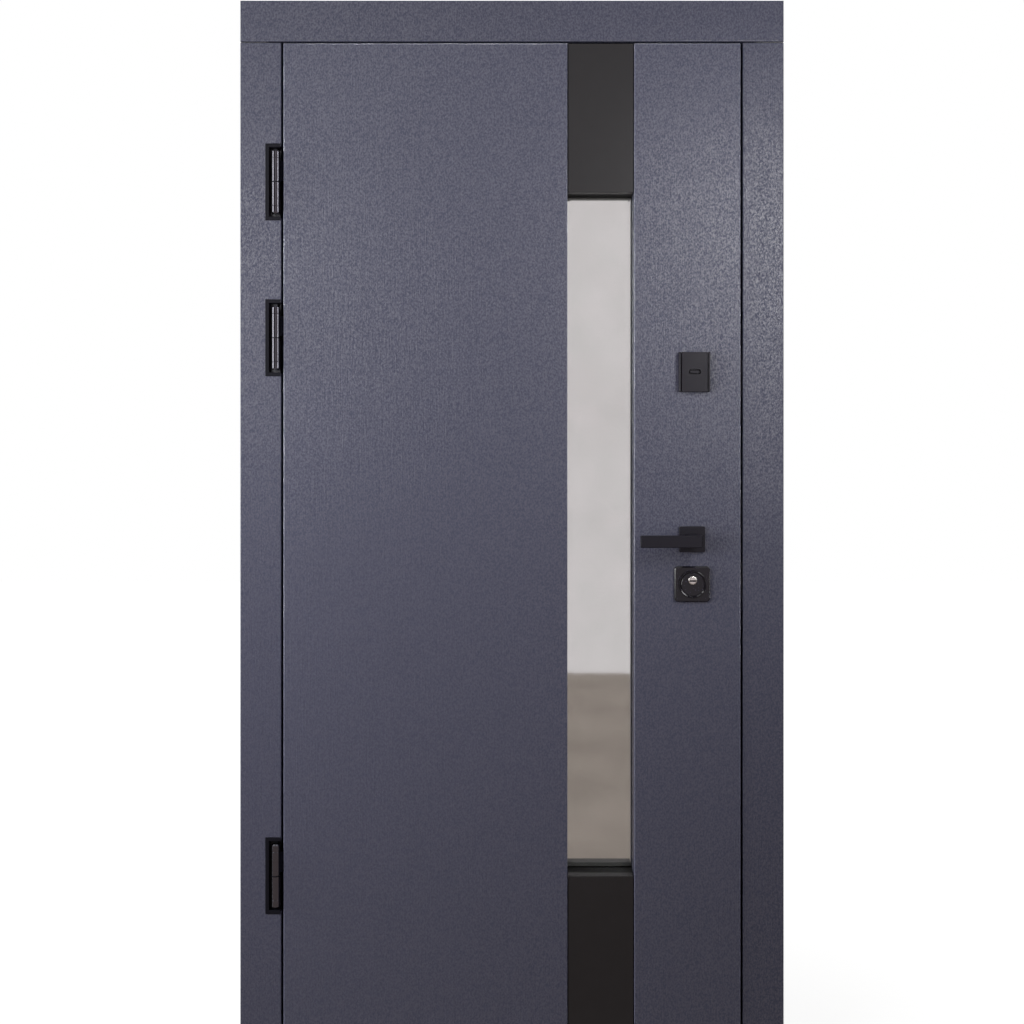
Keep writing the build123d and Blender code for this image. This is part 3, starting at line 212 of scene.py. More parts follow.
# Painted shade: this noise paints the cloth's folds as lighter and darker bands.
fold_shade = add(tree, "ShaderNodeTexNoise", {"Vector": place, "Scale": 1 / FOLD_SIZE, "Detail": 3.0})
tint = add(tree, "ShaderNodeMix", {MIX_FACTOR: fold_shade.outputs["Fac"], MIX_A: colour("#d1c6ca"),
    MIX_B: colour("#ebe2e7")}, data_type="RGBA")
# Painted falloff: the glow dims away from the strip of wall that the mirror sees.
CLOTH_X = 0.45
CLOTH_HALF = 0.5
CLOTH_END = 2.6 * CLOTH_HALF
CLOTH_DIM = 0.18
centred = add(tree, "ShaderNodeMapping", {"Vector": place, "Location": (-CLOTH_X, 0, 0)})
across = add(tree, "ShaderNodeSeparateXYZ", {"Vector": centred.outputs[0]}).outputs["X"]
across = add(tree, "ShaderNodeMath", {0: across}, operation="ABSOLUTE")
dim = add(tree, "ShaderNodeMapRange", {"Value": across.outputs[0], "From Min": CLOTH_HALF,
    "From Max": CLOTH_END, "To Min": 1.0, "To Max": CLOTH_DIM})
glow_only(tree, shader, tint)
tree.links.new(dim.outputs[0], shader.inputs["Emission Strength"])
wall_card.data.materials.append(cloth)
hide_from_light(wall_card)

bpy.ops.object.select_all(action="DESELECT")
bpy.ops.mesh.primitive_plane_add(size=1.0, location=(0, WALL_Y + ROOM_DEPTH / 2, CARD_LIFT))
floor_card = bpy.context.active_object
floor_card.name = "reflected_floor"
floor_card.scale = (2 * ROOM_HALF_WIDTH, ROOM_DEPTH, 1)
bpy.ops.object.transform_apply(location=True, rotation=True, scale=True)
concrete, tree, shader, place = new_material("warm_concrete_floor")
STAIN_SIZE = 350 * MM
stains = add(tree, "ShaderNodeTexNoise", {"Vector": place, "Scale": 1 / STAIN_SIZE, "Detail": 6.0})
tint = add(tree, "ShaderNodeMix", {MIX_FACTOR: stains.outputs["Fac"], MIX_A: colour("#827672"),
    MIX_B: colour("#ab9d98")}, data_type="RGBA")
glow_only(tree, shader, tint)
floor_card.data.materials.append(concrete)
hide_from_light(floor_card)

bpy.ops.object.select_all(action="DESELECT")
HALL_MARGIN = 0.3
HALL_BACK = 1.3
hall_middle = (0, WALL_Y + ROOM_DEPTH / 2 - HALL_BACK, ROOM_HEIGHT / 2)
bpy.ops.mesh.primitive_cube_add(size=1.0, location=hall_middle)
hall_card = bpy.context.active_object
hall_card.name = "reflected_hall"
hall_card.scale = (2 * ROOM_HALF_WIDTH + HALL_MARGIN, ROOM_DEPTH, ROOM_HEIGHT + HALL_MARGIN)
bpy.ops.object.transform_apply(location=True, rotation=True, scale=True)
bpy.ops.object.mode_set(mode="EDIT")
bpy.ops.mesh.select_all(action="DESELECT")
hall_mesh = bmesh.from_edit_mesh(hall_card.data)
for side in hall_mesh.faces:
    side.select_set(side.normal.y > FACING)
bmesh.update_edit_mesh(hall_card.data)
bpy.ops.mesh.delete(type="FACE")
bpy.ops.object.mode_set(mode="OBJECT")
plaster, tree, shader, place = new_material("dim_plaster_hall")
DAMP_SIZE = 900 * MM
damp = add(tree, "ShaderNodeTexNoise", {"Vector": place, "Scale": 1 / DAMP_SIZE, "Detail": 3.0})
tint = add(tree, "ShaderNodeMix", {MIX_FACTOR: damp.outputs["Fac"], MIX_A: colour("#4a4a4c"),
    MIX_B: colour("#5c5c5e")}, data_type="RGBA")
glow_only(tree, shader, tint)
hall_card.data.materials.append(plaster)
hide_from_light(hall_card)
print("mirror room:", wall_card.name, floor_card.name, hall_card.name)

# %% [markdown]
# The light is soft and comes mostly from high in front, so the upper half of the door
# is brighter than its foot. Near lamps give that glow, two on each side. Edge lamps
# graze the boards from the sides and from above and draw the thin light lines on their
# eased edges. A lock lamp puts streaks on the glossy pieces, and a weak lamp behind
# keeps the inner face readable. A photographer would hold such lamps off other pieces
# with black flags. Here light linking does that, once the pieces are dressed below.

# %% Lights
def soft_box(name, at, aim, wide, tall, watts, glints=True):
    lamp = bpy.data.lights.new(name, "AREA")
    lamp.shape = "RECTANGLE"
    lamp.size = wide
    lamp.size_y = tall
    lamp.energy = watts
    box = bpy.data.objects.new(name, lamp)
    box.location = at
    box.rotation_euler = (Vector(aim) - Vector(at)).to_track_quat("-Z", "Y").to_euler()
    box.visible_camera = False
    box.visible_glossy = glints
    bpy.context.scene.collection.objects.link(box)
    print(name, watts, "W")
    return box


near_lamps = [
    soft_box("left_near_light", (-0.96, -1.6, 1.75), (-0.5, 0, 1.6), 0.5, 0.8, 8),
    soft_box("left_foot_light", (-1.2, -1.3, 1.1), (-0.6, 0, 1.05), 0.5, 0.7, 11, glints=False),
    soft_box("right_near_light", (0.74, -1.1, 1.86), (0.62, 0, 1.8), 0.2, 0.4, 5.4),
    soft_box("right_middle_light", (0.82, -1.1, 1.4), (0.55, 0, 1.35), 0.3, 0.5, 2.6),
]
edge_lamps = [
    soft_box("left_edge_light", (-2.6, -0.1, 1.6), (-0.45, -0.07, 1.4), 0.1, 2.0, 120),
    soft_box("right_edge_light", (2.6, -0.1, 1.6), (0.45, -0.07, 1.4), 0.1, 2.0, 60),
    soft_box("top_edge_light", (-0.1, -0.11, 4.3), (-0.1, -0.07, 2.0), 1.4, 0.1, 120),
]
lock_lamp = soft_box("lock_light", (2.1, -1.1, 2.0), (0.35, 0, 1.0), 0.5, 1.8, 24)
soft_box("left_side_light", (-2.6, -0.75, 1.5), (-0.4, 0, 1.5), 1.0, 1.8, 36)
soft_box("top_light", (-0.5, -1.4, 2.5), (-0.5, 0, 2.0), 1.0, 0.4, 2)
soft_box("back_light", (0.3, 3.2, 2.6), (0, 0, 1.0), 2.5, 1.5, 40)

# %% [markdown]
# Graphite film covers the boards of the leaf and the architraves. It is PVC pressed
# with a fine, slightly upright grain, so it looks satin and speckled close to a light
# and plain further away. Two noises give it: grains a few millimetres across, drawn
# coarser than the real ones so that they show, and long faint streaks.

# %% Graphite film
film, tree, shader, place = new_material("graphite_pvc_film")
GRAIN = 3.0 * MM
GRAIN_SQUEEZE = (1.0, 1.0, 0.7)
GRAIN_TILT = (0.6, 0.4, 0.3)
STREAK = 2.2 * MM
STREAK_SQUEEZE = (1.0, 1.0, 0.03)
EQUAL_SHARE = 0.5
upright = add(tree, "ShaderNodeMapping", {"Vector": place, "Scale": GRAIN_SQUEEZE,
    "Rotation": GRAIN_TILT})
grain = add(tree, "ShaderNodeTexNoise", {"Vector": upright.outputs[0], "Scale": 1 / GRAIN, "Detail": 3.0,
    "Roughness": 0.6})
drawn = add(tree, "ShaderNodeMapping", {"Vector": place, "Scale": STREAK_SQUEEZE})
streak = add(tree, "ShaderNodeTexNoise", {"Vector": drawn.outputs[0], "Scale": 1 / STREAK, "Detail": 2.0})
both = add(tree, "ShaderNodeMath", {0: grain.outputs["Fac"], 1: streak.outputs["Fac"]}, operation="ADD")
both = add(tree, "ShaderNodeMath", {0: both.outputs[0], 1: EQUAL_SHARE}, operation="MULTIPLY")
tint = add(tree, "ShaderNodeMix", {MIX_FACTOR: both.outputs[0], MIX_A: colour("#494a5b"),
    MIX_B: colour("#505162")}, data_type="RGBA")
speck = add(tree, "ShaderNodeMapRange", {"Value": grain.outputs["Fac"], "From Min": 0.38, "From Max": 0.62})
shine = add(tree, "ShaderNodeMapRange", {"Value": speck.outputs[0], "To Min": 0.1, "To Max": 0.85})
gloss = add(tree, "ShaderNodeMapRange", {"Value": speck.outputs[0], "To Min": 0.46, "To Max": 0.32})
relief = add(tree, "ShaderNodeBump", {"Height": both.outputs[0], "Strength": 1.0, "Distance": 1.2 * MM})
tree.links.new(tint.outputs[MIX_OUT], shader.inputs["Base Color"])
tree.links.new(shine.outputs[0], shader.inputs["Specular IOR Level"])
tree.links.new(gloss.outputs[0], shader.inputs["Roughness"])
tree.links.new(relief.outputs[0], shader.inputs["Normal"])
finishes["graphite_film"] = film
print("film grain", round(GRAIN / MM, 1), "mm")

# %% [markdown]
# The inserts above and below the glass are a smoother, darker film, nearly black and
# satin. It has hardly any grain, only a faint cloudiness and a soft sheen.

# %% Dark insert film
insert_film, tree, shader, place = new_material("dark_satin_film")
CLOUD = 25 * MM
EMBOSS = 1.5 * MM
cloud = add(tree, "ShaderNodeTexNoise", {"Vector": place, "Scale": 1 / CLOUD, "Detail": 4.0})
tint = add(tree, "ShaderNodeMix", {MIX_FACTOR: cloud.outputs["Fac"], MIX_A: colour("#1a191a"),
    MIX_B: colour("#222022")}, data_type="RGBA")
fine = add(tree, "ShaderNodeTexNoise", {"Vector": place, "Scale": 1 / EMBOSS, "Detail": 2.0})
gloss = add(tree, "ShaderNodeMapRange", {"Value": fine.outputs["Fac"], "To Min": 0.36, "To Max": 0.50})
shader.inputs["Specular IOR Level"].default_value = 0.42
relief = add(tree, "ShaderNodeBump", {"Height": fine.outputs["Fac"], "Strength": 0.10, "Distance": 0.3 * MM})
tree.links.new(tint.outputs[MIX_OUT], shader.inputs["Base Color"])
tree.links.new(gloss.outputs[0], shader.inputs["Roughness"])
tree.links.new(relief.outputs[0], shader.inputs["Normal"])
finishes["dark_insert"] = insert_film
print("insert film made")

# %% [markdown]
# The frame, the casing and the glazing lining are sheet steel under polyester powder
# coat. Sprayed powder melts into a skin with a slight orange peel, which shows as a
# gentle waviness in the sheen. The spots that feet and the leaf rub are a touch lighter.

# %% Powder-coated steel
powder, tree, shader, place = new_material("powder_coated_steel")
PEEL = 1.6 * MM
RUBBED_SPOT = 60 * MM
peel = add(tree, "ShaderNodeTexNoise", {"Vector": place, "Scale": 1 / PEEL, "Detail": 2.0})
wear = add(tree, "ShaderNodeTexNoise", {"Vector": place, "Scale": 1 / RUBBED_SPOT, "Detail": 5.0})
tint = add(tree, "ShaderNodeMix", {MIX_FACTOR: wear.outputs["Fac"], MIX_A: colour("#3a3a42"),
    MIX_B: colour("#484850")}, data_type="RGBA")
gloss = add(tree, "ShaderNodeMapRange", {"Value": wear.outputs["Fac"], "To Min": 0.34, "To Max": 0.52})
relief = add(tree, "ShaderNodeBump", {"Height": peel.outputs["Fac"], "Strength": 0.18, "Distance": 0.3 * MM})
tree.links.new(tint.outputs[MIX_OUT], shader.inputs["Base Color"])
tree.links.new(gloss.outputs[0], shader.inputs["Roughness"])
tree.links.new(relief.outputs[0], shader.inputs["Normal"])
finishes["frame_paint"] = powder
print("powder coat made")

# %% [markdown]
# The handles, their roses and the keyhole cover are cast zinc under a satin black coat.
# Fine grit in the coat breaks the highlight, and a hand polishes it a little. The grit
# drives the colour and the bump, and a slower noise moves the gloss.

# %% Satin black metal
satin_black, tree, shader, place = new_material("satin_black_coated_metal")
GRIT = 0.9 * MM
POLISHED_SPOT = 30 * MM
grit = add(tree, "ShaderNodeTexNoise", {"Vector": place, "Scale": 1 / GRIT, "Detail": 3.0})
touch = add(tree, "ShaderNodeTexNoise", {"Vector": place, "Scale": 1 / POLISHED_SPOT, "Detail": 3.0})
tint = add(tree, "ShaderNodeMix", {MIX_FACTOR: grit.outputs["Fac"], MIX_A: colour("#121019"),
    MIX_B: colour("#1c1a24")}, data_type="RGBA")
gloss = add(tree, "ShaderNodeMapRange", {"Value": touch.outputs["Fac"], "To Min": 0.34, "To Max": 0.52})
shader.inputs["Specular IOR Level"].default_value = 0.28
relief = add(tree, "ShaderNodeBump", {"Height": grit.outputs["Fac"], "Strength": 0.12, "Distance": 0.2 * MM})
tree.links.new(tint.outputs[MIX_OUT], shader.inputs["Base Color"])
tree.links.new(gloss.outputs[0], shader.inputs["Roughness"])
tree.links.new(relief.outputs[0], shader.inputs["Normal"])
finishes["black_hardware"] = satin_black
print("satin black made")

# %% [markdown]
# The cylinder's square plate and its disc are armoured steel with a baked black enamel.
# It is glossy: its body is nearly black and the soft boxes show as clear streaks. A
# low roughness with a slight haze is enough, because the shape makes the streaks.

# %% Gloss black enamel
enamel, tree, shader, place = new_material("gloss_black_enamel")
HAZE = 12 * MM
haze = add(tree, "ShaderNodeTexNoise", {"Vector": place, "Scale": 1 / HAZE, "Detail": 4.0})
tint = add(tree, "ShaderNodeMix", {MIX_FACTOR: haze.outputs["Fac"], MIX_A: colour("#07060c"),
    MIX_B: colour("#0d0b14")}, data_type="RGBA")
gloss = add(tree, "ShaderNodeMapRange", {"Value": haze.outputs["Fac"], "To Min": 0.08, "To Max": 0.18})
shader.inputs["Specular IOR Level"].default_value = 0.4
tree.links.new(tint.outputs[MIX_OUT], shader.inputs["Base Color"])
tree.links.new(gloss.outputs[0], shader.inputs["Roughness"])
finishes["gloss_black_plate"] = enamel
print("enamel made")

# %% [markdown]
# The hinge knuckles are turned steel with a black nickel plating. Plating keeps the
# look of metal: it mirrors the bright sides of the room and stays dark in the middle.
# The marks of the lathe are rings, so the noise is stretched round the barrel.

# %% Black nickel
black_nickel, tree, shader, place = new_material("black_nickel_plated_steel")
TOOL_MARK = 0.6 * MM
ROUND_SQUEEZE = (0.05, 0.05, 1.0)
drawn = add(tree, "ShaderNodeMapping", {"Vector": place, "Scale": ROUND_SQUEEZE})
marks = add(tree, "ShaderNodeTexNoise", {"Vector": drawn.outputs[0], "Scale": 1 / TOOL_MARK, "Detail": 2.0})
tint = add(tree, "ShaderNodeMix", {MIX_FACTOR: marks.outputs["Fac"], MIX_A: colour("#5a595f"),
    MIX_B: colour("#6b6a71")}, data_type="RGBA")
gloss = add(tree, "ShaderNodeMapRange", {"Value": marks.outputs["Fac"], "To Min": 0.16, "To Max": 0.30})
shader.inputs["Metallic"].default_value = 1.0
tree.links.new(tint.outputs[MIX_OUT], shader.inputs["Base Color"])
tree.links.new(gloss.outputs[0], shader.inputs["Roughness"])
print("black nickel made")

# %% [markdown]
# The pocket trims round the hinges are moulded ABS, black with a fine spark-eroded
# texture from the mould, so they look duller than the hinges they frame.

# %% Moulded ABS
abs_trim, tree, shader, place = new_material("moulded_black_abs")
SPARK = 0.8 * MM
spark = add(tree, "ShaderNodeTexNoise", {"Vector": place, "Scale": 1 / SPARK, "Detail": 2.0})
tint = add(tree, "ShaderNodeMix", {MIX_FACTOR: spark.outputs["Fac"], MIX_A: colour("#0e0e15"),
    MIX_B: colour("#16161e")}, data_type="RGBA")
gloss = add(tree, "ShaderNodeMapRange", {"Value": spark.outputs["Fac"], "To Min": 0.42, "To Max": 0.60})
shader.inputs["Specular IOR Level"].default_value = 0.14
relief = add(tree, "ShaderNodeBump", {"Height": spark.outputs["Fac"], "Strength": 0.15, "Distance": 0.2 * MM})
tree.links.new(tint.outputs[MIX_OUT], shader.inputs["Base Color"])
tree.links.new(gloss.outputs[0], shader.inputs["Roughness"])
tree.links.new(relief.outputs[0], shader.inputs["Normal"])
finishes["black_plastic"] = abs_trim
print("ABS made")

# %% [markdown]
# The lock edges, strikes, bolts and spindle are brushed steel. A belt leaves fine
# scratches along the length of each plate, so the sheen is drawn out upright.

# %% Brushed steel
brushed, tree, shader, place = new_material("brushed_stainless_steel")
SCRATCH = 0.5 * MM
SCRATCH_SQUEEZE = (1.0, 1.0, 0.02)
along = add(tree, "ShaderNodeMapping", {"Vector": place, "Scale": SCRATCH_SQUEEZE})
scratch = add(tree, "ShaderNodeTexNoise", {"Vector": along.outputs[0], "Scale": 1 / SCRATCH, "Detail": 3.0})
tint = add(tree, "ShaderNodeMix", {MIX_FACTOR: scratch.outputs["Fac"], MIX_A: colour("#a3a3a6"),
    MIX_B: colour("#c9c9cb")}, data_type="RGBA")
gloss = add(tree, "ShaderNodeMapRange", {"Value": scratch.outputs["Fac"], "To Min": 0.24, "To Max": 0.46})
relief = add(tree, "ShaderNodeBump", {"Height": scratch.outputs["Fac"], "Strength": 0.10,
    "Distance": 0.1 * MM})
shader.inputs["Metallic"].default_value = 1.0
tree.links.new(tint.outputs[MIX_OUT], shader.inputs["Base Color"])
tree.links.new(gloss.outputs[0], shader.inputs["Roughness"])
tree.links.new(relief.outputs[0], shader.inputs["Normal"])
finishes["steel_edge"] = brushed
print("brushed steel made")

# %% [markdown]
# The nose of the lock cylinder is brass with a bright nickel plating, turned on a
# lathe. The turning marks are rings round the nose, faint, and drawn coarser than the
# real ones so that they show. A ring wave turns through 20 radians in each unit of its
# scale, which gives its scale from the step of the rings.

# %% Nickel-plated cylinder
nickel, tree, shader, place = new_material("nickel_plated_brass")
TURNING = 0.9 * MM
WAVE_RADIANS = 20


def middle_of(low, high):
    return [(a + b) / 2 for a, b in zip(low, high)]


plug_low, plug_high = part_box("lock_cylinder")
plug_middle = middle_of(plug_low, plug_high)
centred = add(tree, "ShaderNodeMapping", {"Vector": place, "Location": [-v for v in plug_middle]})
rings = add(tree, "ShaderNodeTexWave", {"Vector": centred.outputs[0],
    "Scale": 1 / TURNING / WAVE_RADIANS, "Distortion": 0.4}, wave_type="RINGS", rings_direction="Y")
tint = add(tree, "ShaderNodeMix", {MIX_FACTOR: rings.outputs["Fac"], MIX_A: colour("#c3c0ba"),
    MIX_B: colour("#dedcd8")}, data_type="RGBA")
gloss = add(tree, "ShaderNodeMapRange", {"Value": rings.outputs["Fac"], "To Min": 0.16, "To Max": 0.26})
shader.inputs["Metallic"].default_value = 1.0
tree.links.new(tint.outputs[MIX_OUT], shader.inputs["Base Color"])
tree.links.new(gloss.outputs[0], shader.inputs["Roughness"])
finishes["nickel_cylinder"] = nickel
print("nickel made")

# %% [markdown]
# The strip is silvered glass, a mirror. Silver under glass returns most of the light,
# a little greener and darker than what it shows. Float glass is very slightly wavy,
# so a weak, wide bump keeps the picture in it from being perfect.

# %% Mirror glass
mirror, tree, shader, place = new_material("silvered_mirror_glass")
DRAW_WAVE = 160 * MM
DUST = 40 * MM
waves = add(tree, "ShaderNodeTexNoise", {"Vector": place, "Scale": 1 / DRAW_WAVE, "Detail": 1.0})
dust = add(tree, "ShaderNodeTexNoise", {"Vector": place, "Scale": 1 / DUST, "Detail": 6.0})
tint = add(tree, "ShaderNodeMix", {MIX_FACTOR: dust.outputs["Fac"], MIX_A: colour("#eaebe8"),
    MIX_B: colour("#f1f1ef")}, data_type="RGBA")
relief = add(tree, "ShaderNodeBump", {"Height": waves.outputs["Fac"], "Strength": 0.05, "Distance": 0.4 * MM})
shader.inputs["Metallic"].default_value = 1.0
shader.inputs["Roughness"].default_value = 0.03
tree.links.new(tint.outputs[MIX_OUT], shader.inputs["Base Color"])
tree.links.new(relief.outputs[0], shader.inputs["Normal"])
finishes["mirror_glass"] = mirror
print("mirror made")

# %% [markdown]
# On the inner side the strip is closed by a clear float pane on an aluminium spacer.
# Glass has an index near 1.5 and a faint green in its thickness; the spacer is mill
# finish, dull with tiny rolled lines.

# %% Clear pane and spacer
clear, tree, shader, place = new_material("clear_float_glass")
SMEAR = 70 * MM
smear = add(tree, "ShaderNodeTexNoise", {"Vector": place, "Scale": 1 / SMEAR, "Detail": 5.0})
tint = add(tree, "ShaderNodeMix", {MIX_FACTOR: smear.outputs["Fac"], MIX_A: colour("#f3f7f5"),
    MIX_B: colour("#fbfdfc")}, data_type="RGBA")
gloss = add(tree, "ShaderNodeMapRange", {"Value": smear.outputs["Fac"], "To Min": 0.0, "To Max": 0.05})
shader.inputs["Transmission Weight"].default_value = 1.0
shader.inputs["IOR"].default_value = 1.5
tree.links.new(tint.outputs[MIX_OUT], shader.inputs["Base Color"])
tree.links.new(gloss.outputs[0], shader.inputs["Roughness"])
finishes["clear_glass"] = clear

spacer, tree, shader, place = new_material("mill_finish_aluminium")
ROLL_LINE = 0.6 * MM
ROLL_SQUEEZE = (1.0, 1.0, 0.05)
rolled = add(tree, "ShaderNodeMapping", {"Vector": place, "Scale": ROLL_SQUEEZE})
lines = add(tree, "ShaderNodeTexNoise", {"Vector": rolled.outputs[0], "Scale": 1 / ROLL_LINE, "Detail": 2.0})
tint = add(tree, "ShaderNodeMix", {MIX_FACTOR: lines.outputs["Fac"], MIX_A: colour("#a9aaac"),
    MIX_B: colour("#c4c5c6")}, data_type="RGBA")
shader.inputs["Metallic"].default_value = 1.0
shader.inputs["Roughness"].default_value = 0.42
tree.links.new(tint.outputs[MIX_OUT], shader.inputs["Base Color"])
finishes["spacer_aluminium"] = spacer
print("pane and spacer made")

# %% [markdown]
# Seals are extruded EPDM rubber: black, dull, with a slight bloom that greys it in
# patches. A slow noise gives the bloom, a fine one the skin. The ends of the glazing
# lining take this black rubber as painted shade, for the dark band where the glass
# recess lies in shade.

# %% Rubber
rubber, tree, shader, place = new_material("extruded_epdm_rubber")
BLOOM = 18 * MM
SKIN = 0.7 * MM
bloom = add(tree, "ShaderNodeTexNoise", {"Vector": place, "Scale": 1 / BLOOM, "Detail": 5.0})
skin = add(tree, "ShaderNodeTexNoise", {"Vector": place, "Scale": 1 / SKIN, "Detail": 2.0})
tint = add(tree, "ShaderNodeMix", {MIX_FACTOR: bloom.outputs["Fac"], MIX_A: colour("#141414"),
    MIX_B: colour("#242424")}, data_type="RGBA")
relief = add(tree, "ShaderNodeBump", {"Height": skin.outputs["Fac"], "Strength": 0.15, "Distance": 0.2 * MM})
shader.inputs["Roughness"].default_value = 0.72
tree.links.new(tint.outputs[MIX_OUT], shader.inputs["Base Color"])
tree.links.new(relief.outputs[0], shader.inputs["Normal"])
finishes["seal_rubber"] = rubber
print("rubber made")

# %% [markdown]
# Each CAD piece names a finish in the imported record. One loop gives every piece the
# material made above, so nothing is left in a flat colour. Two finishes differ from the
# record: the hinge knuckles are plated, and the ends of the glazing lining get the black
# rubber as painted shade, which darkens them where the glass recess lies in shade.
# The same loop sorts pieces into collections for light linking. A lamp lights only the
# members of its collection, and a member marked EXCLUDE is left out instead.

# %% Dress the CAD pieces
slots = {row["node"]: row["material_slot"] for row in frame["record"]["subparts"]}
knuckles = bpy.data.collections.new("hinge_knuckles")
boards = bpy.data.collections.new("front_boards")
hardware = bpy.data.collections.new("front_hardware")
for node_name, node_object in frame["nodes"].items():
    node_object.data.materials.clear()
    is_knuckle = node_name.startswith(("hinge_socket", "hinge_pintle"))
    finish = finishes[slots[node_name]]
    if is_knuckle:
        finish = black_nickel
    # Painted shade: the black rubber darkens the lining ends where the recess lies in shade.
    if node_name == "outer_lining_ends":
        finish = finishes["seal_rubber"]
    node_object.data.materials.append(finish)
    if is_knuckle:
        knuckles.objects.link(node_object)
        hardware.objects.link(node_object)
    if node_name.startswith("outer_") and slots[node_name] == "graphite_film":
        boards.objects.link(node_object)
for member in knuckles.collection_objects:
    member.light_linking.link_state = "EXCLUDE"
for lamp in near_lamps:
    lamp.light_linking.receiver_collection = knuckles
for lamp in edge_lamps:
    lamp.light_linking.receiver_collection = boards
lock_lamp.light_linking.receiver_collection = hardware
print(len(slots), "pieces dressed in", len(set(slots.values())), "finishes")

# %% [markdown]
# The furniture is modelled by hand, on the CAD sizes. A box is started at its corners,
# faces and edges are chosen by where they lie or look, and edit-mode tools shape them.
# Every finished piece rides on the body that carries it and stands for its CAD node,
# and the glossy ones join the collection that the lock lamp lights.

# %% Modelling helpers
OUTWARD = Vector((0, -1, 0))
SMALL = 1e-5
SHARP_ANGLE = math.radians(60)
STREAKED_SLOTS = ("gloss_black_plate", "nickel_cylinder")


def start_box(name, low, high):
    bpy.ops.object.select_all(action="DESELECT")
    bpy.ops.mesh.primitive_cube_add(size=1.0, location=middle_of(low, high))
    piece = bpy.context.active_object
    piece.name = name
    piece.scale = [b - a for a, b in zip(low, high)]
    bpy.ops.object.transform_apply(location=True, rotation=True, scale=True)
    return piece


def start_round(name, middle, radius, depth, sides, turn=(math.pi / 2, 0, 0)):
    bpy.ops.object.select_all(action="DESELECT")
    bpy.ops.mesh.primitive_cylinder_add(vertices=sides, radius=radius, depth=depth,
        location=middle, rotation=turn)
    piece = bpy.context.active_object
    piece.name = name
    bpy.ops.object.transform_apply(location=True, rotation=True, scale=True)
    return piece


def pick(piece, kind, test):
    bpy.context.view_layer.objects.active = piece
    bpy.ops.object.mode_set(mode="EDIT")
    bpy.ops.mesh.select_mode(type=kind)
    bpy.ops.mesh.select_all(action="DESELECT")
    mesh = bmesh.from_edit_mesh(piece.data)
    mesh.normal_update()
    parts = {"FACE": mesh.faces, "EDGE": mesh.edges, "VERT": mesh.verts}[kind]
    chosen = [part for part in parts if test(part)]
    for part in chosen:
        part.select_set(True)
    mesh.select_flush_mode()
    bmesh.update_edit_mesh(piece.data)


def push(distance):
    bpy.ops.mesh.extrude_region_move(TRANSFORM_OT_translate={"value": (0, distance, 0)})


def slice_at(piece, point, normal):
    pick(piece, "FACE", lambda face: True)
    bpy.ops.mesh.bisect(plane_co=point, plane_no=normal)


def ease(piece, test, radius, steps):
    pick(piece, "EDGE", test)
    bpy.ops.mesh.bevel(offset=radius, segments=steps, affect="EDGES")
    bpy.ops.object.mode_set(mode="OBJECT")


def runs_deep(edge):
    return abs((edge.verts[1].co - edge.verts[0].co).normalized().y) > FACING


def faces_out(face):
    return face.normal.dot(OUTWARD) > FACING


def lies_at(y):
    return lambda edge: all(abs(v.co.y - y) < SMALL for v in edge.verts)


def is_sharp(edge):
    return len(edge.link_faces) == 2 and edge.calc_face_angle() > SHARP_ANGLE


def cut_away(piece, cutter):
    bpy.ops.object.mode_set(mode="OBJECT")
    bpy.ops.object.select_all(action="DESELECT")
    bpy.context.view_layer.objects.active = piece
    piece.select_set(True)
    hollow = piece.modifiers.new("hollow", "BOOLEAN")
    hollow.operation = "DIFFERENCE"
    hollow.solver = "EXACT"
    hollow.object = cutter
    bpy.ops.object.modifier_apply(modifier=hollow.name)
    bpy.data.objects.remove(cutter)


def settle(piece, body, slot, *nodes, smooth=40):
    pick(piece, "FACE", lambda face: True)
    bpy.ops.mesh.normals_make_consistent(inside=False)
    bpy.ops.object.mode_set(mode="OBJECT")
    bpy.ops.object.select_all(action="DESELECT")
    piece.select_set(True)
    bpy.ops.object.shade_smooth_by_angle(angle=math.radians(smooth))
    bpy.context.view_layer.objects.active = piece
    weighted = piece.modifiers.new("weighted", "WEIGHTED_NORMAL")
    weighted.keep_sharp = True
    bpy.ops.object.modifier_apply(modifier=weighted.name)
    piece.data.materials.clear()
    piece.data.materials.append(finishes[slot])
    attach(piece, body)
    if nodes:
        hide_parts(*nodes)
    if slot in STREAKED_SLOTS:
        hardware.objects.link(piece)
    print(piece.name, len(piece.data.polygons), "faces")


print("helpers ready")

# %% [markdown]
# The strip is a real mirror: clear glass whose border is ground to a shallow slope,
# with silver behind it. Light bends in the sloping border, so the border shows a
# slightly different part of the room and reads as a frame. The border is made by an
# inset of the front face, and its long sides are then pushed back.

# %% Bevelled mirror
pane_low, pane_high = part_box("mirror_pane")
SILVER = 0.4 * MM
SILVER_GAP = 0.05 * MM
SILVER_EASE = 0.15 * MM
BORDER = 18 * MM
BORDER_DROP = 0.6 * MM
glass_back = pane_high[1] - SILVER
glass_high = (pane_high[0], glass_back - SILVER_GAP, pane_high[2])
mirror_glass = start_box("bevelled_mirror_glass", pane_low, glass_high)
pick(mirror_glass, "FACE", faces_out)
bpy.ops.mesh.inset(thickness=BORDER, depth=0)


def on_rim(vert):
    at_side = min(abs(vert.co.x - pane_low[0]), abs(vert.co.x - pane_high[0])) < SMALL
    return at_side and abs(vert.co.y - pane_low[1]) < SMALL


pick(mirror_glass, "VERT", on_rim)
bpy.ops.transform.translate(value=(0, BORDER_DROP, 0))
settle(mirror_glass, "leaf", "clear_glass", "mirror_pane", smooth=1)
silvering = start_box("mirror_silvering", (pane_low[0], glass_back, pane_low[2]), pane_high)
ease(silvering, is_sharp, SILVER_EASE, steps=2)
settle(silvering, "leaf", "mirror_glass", smooth=1)

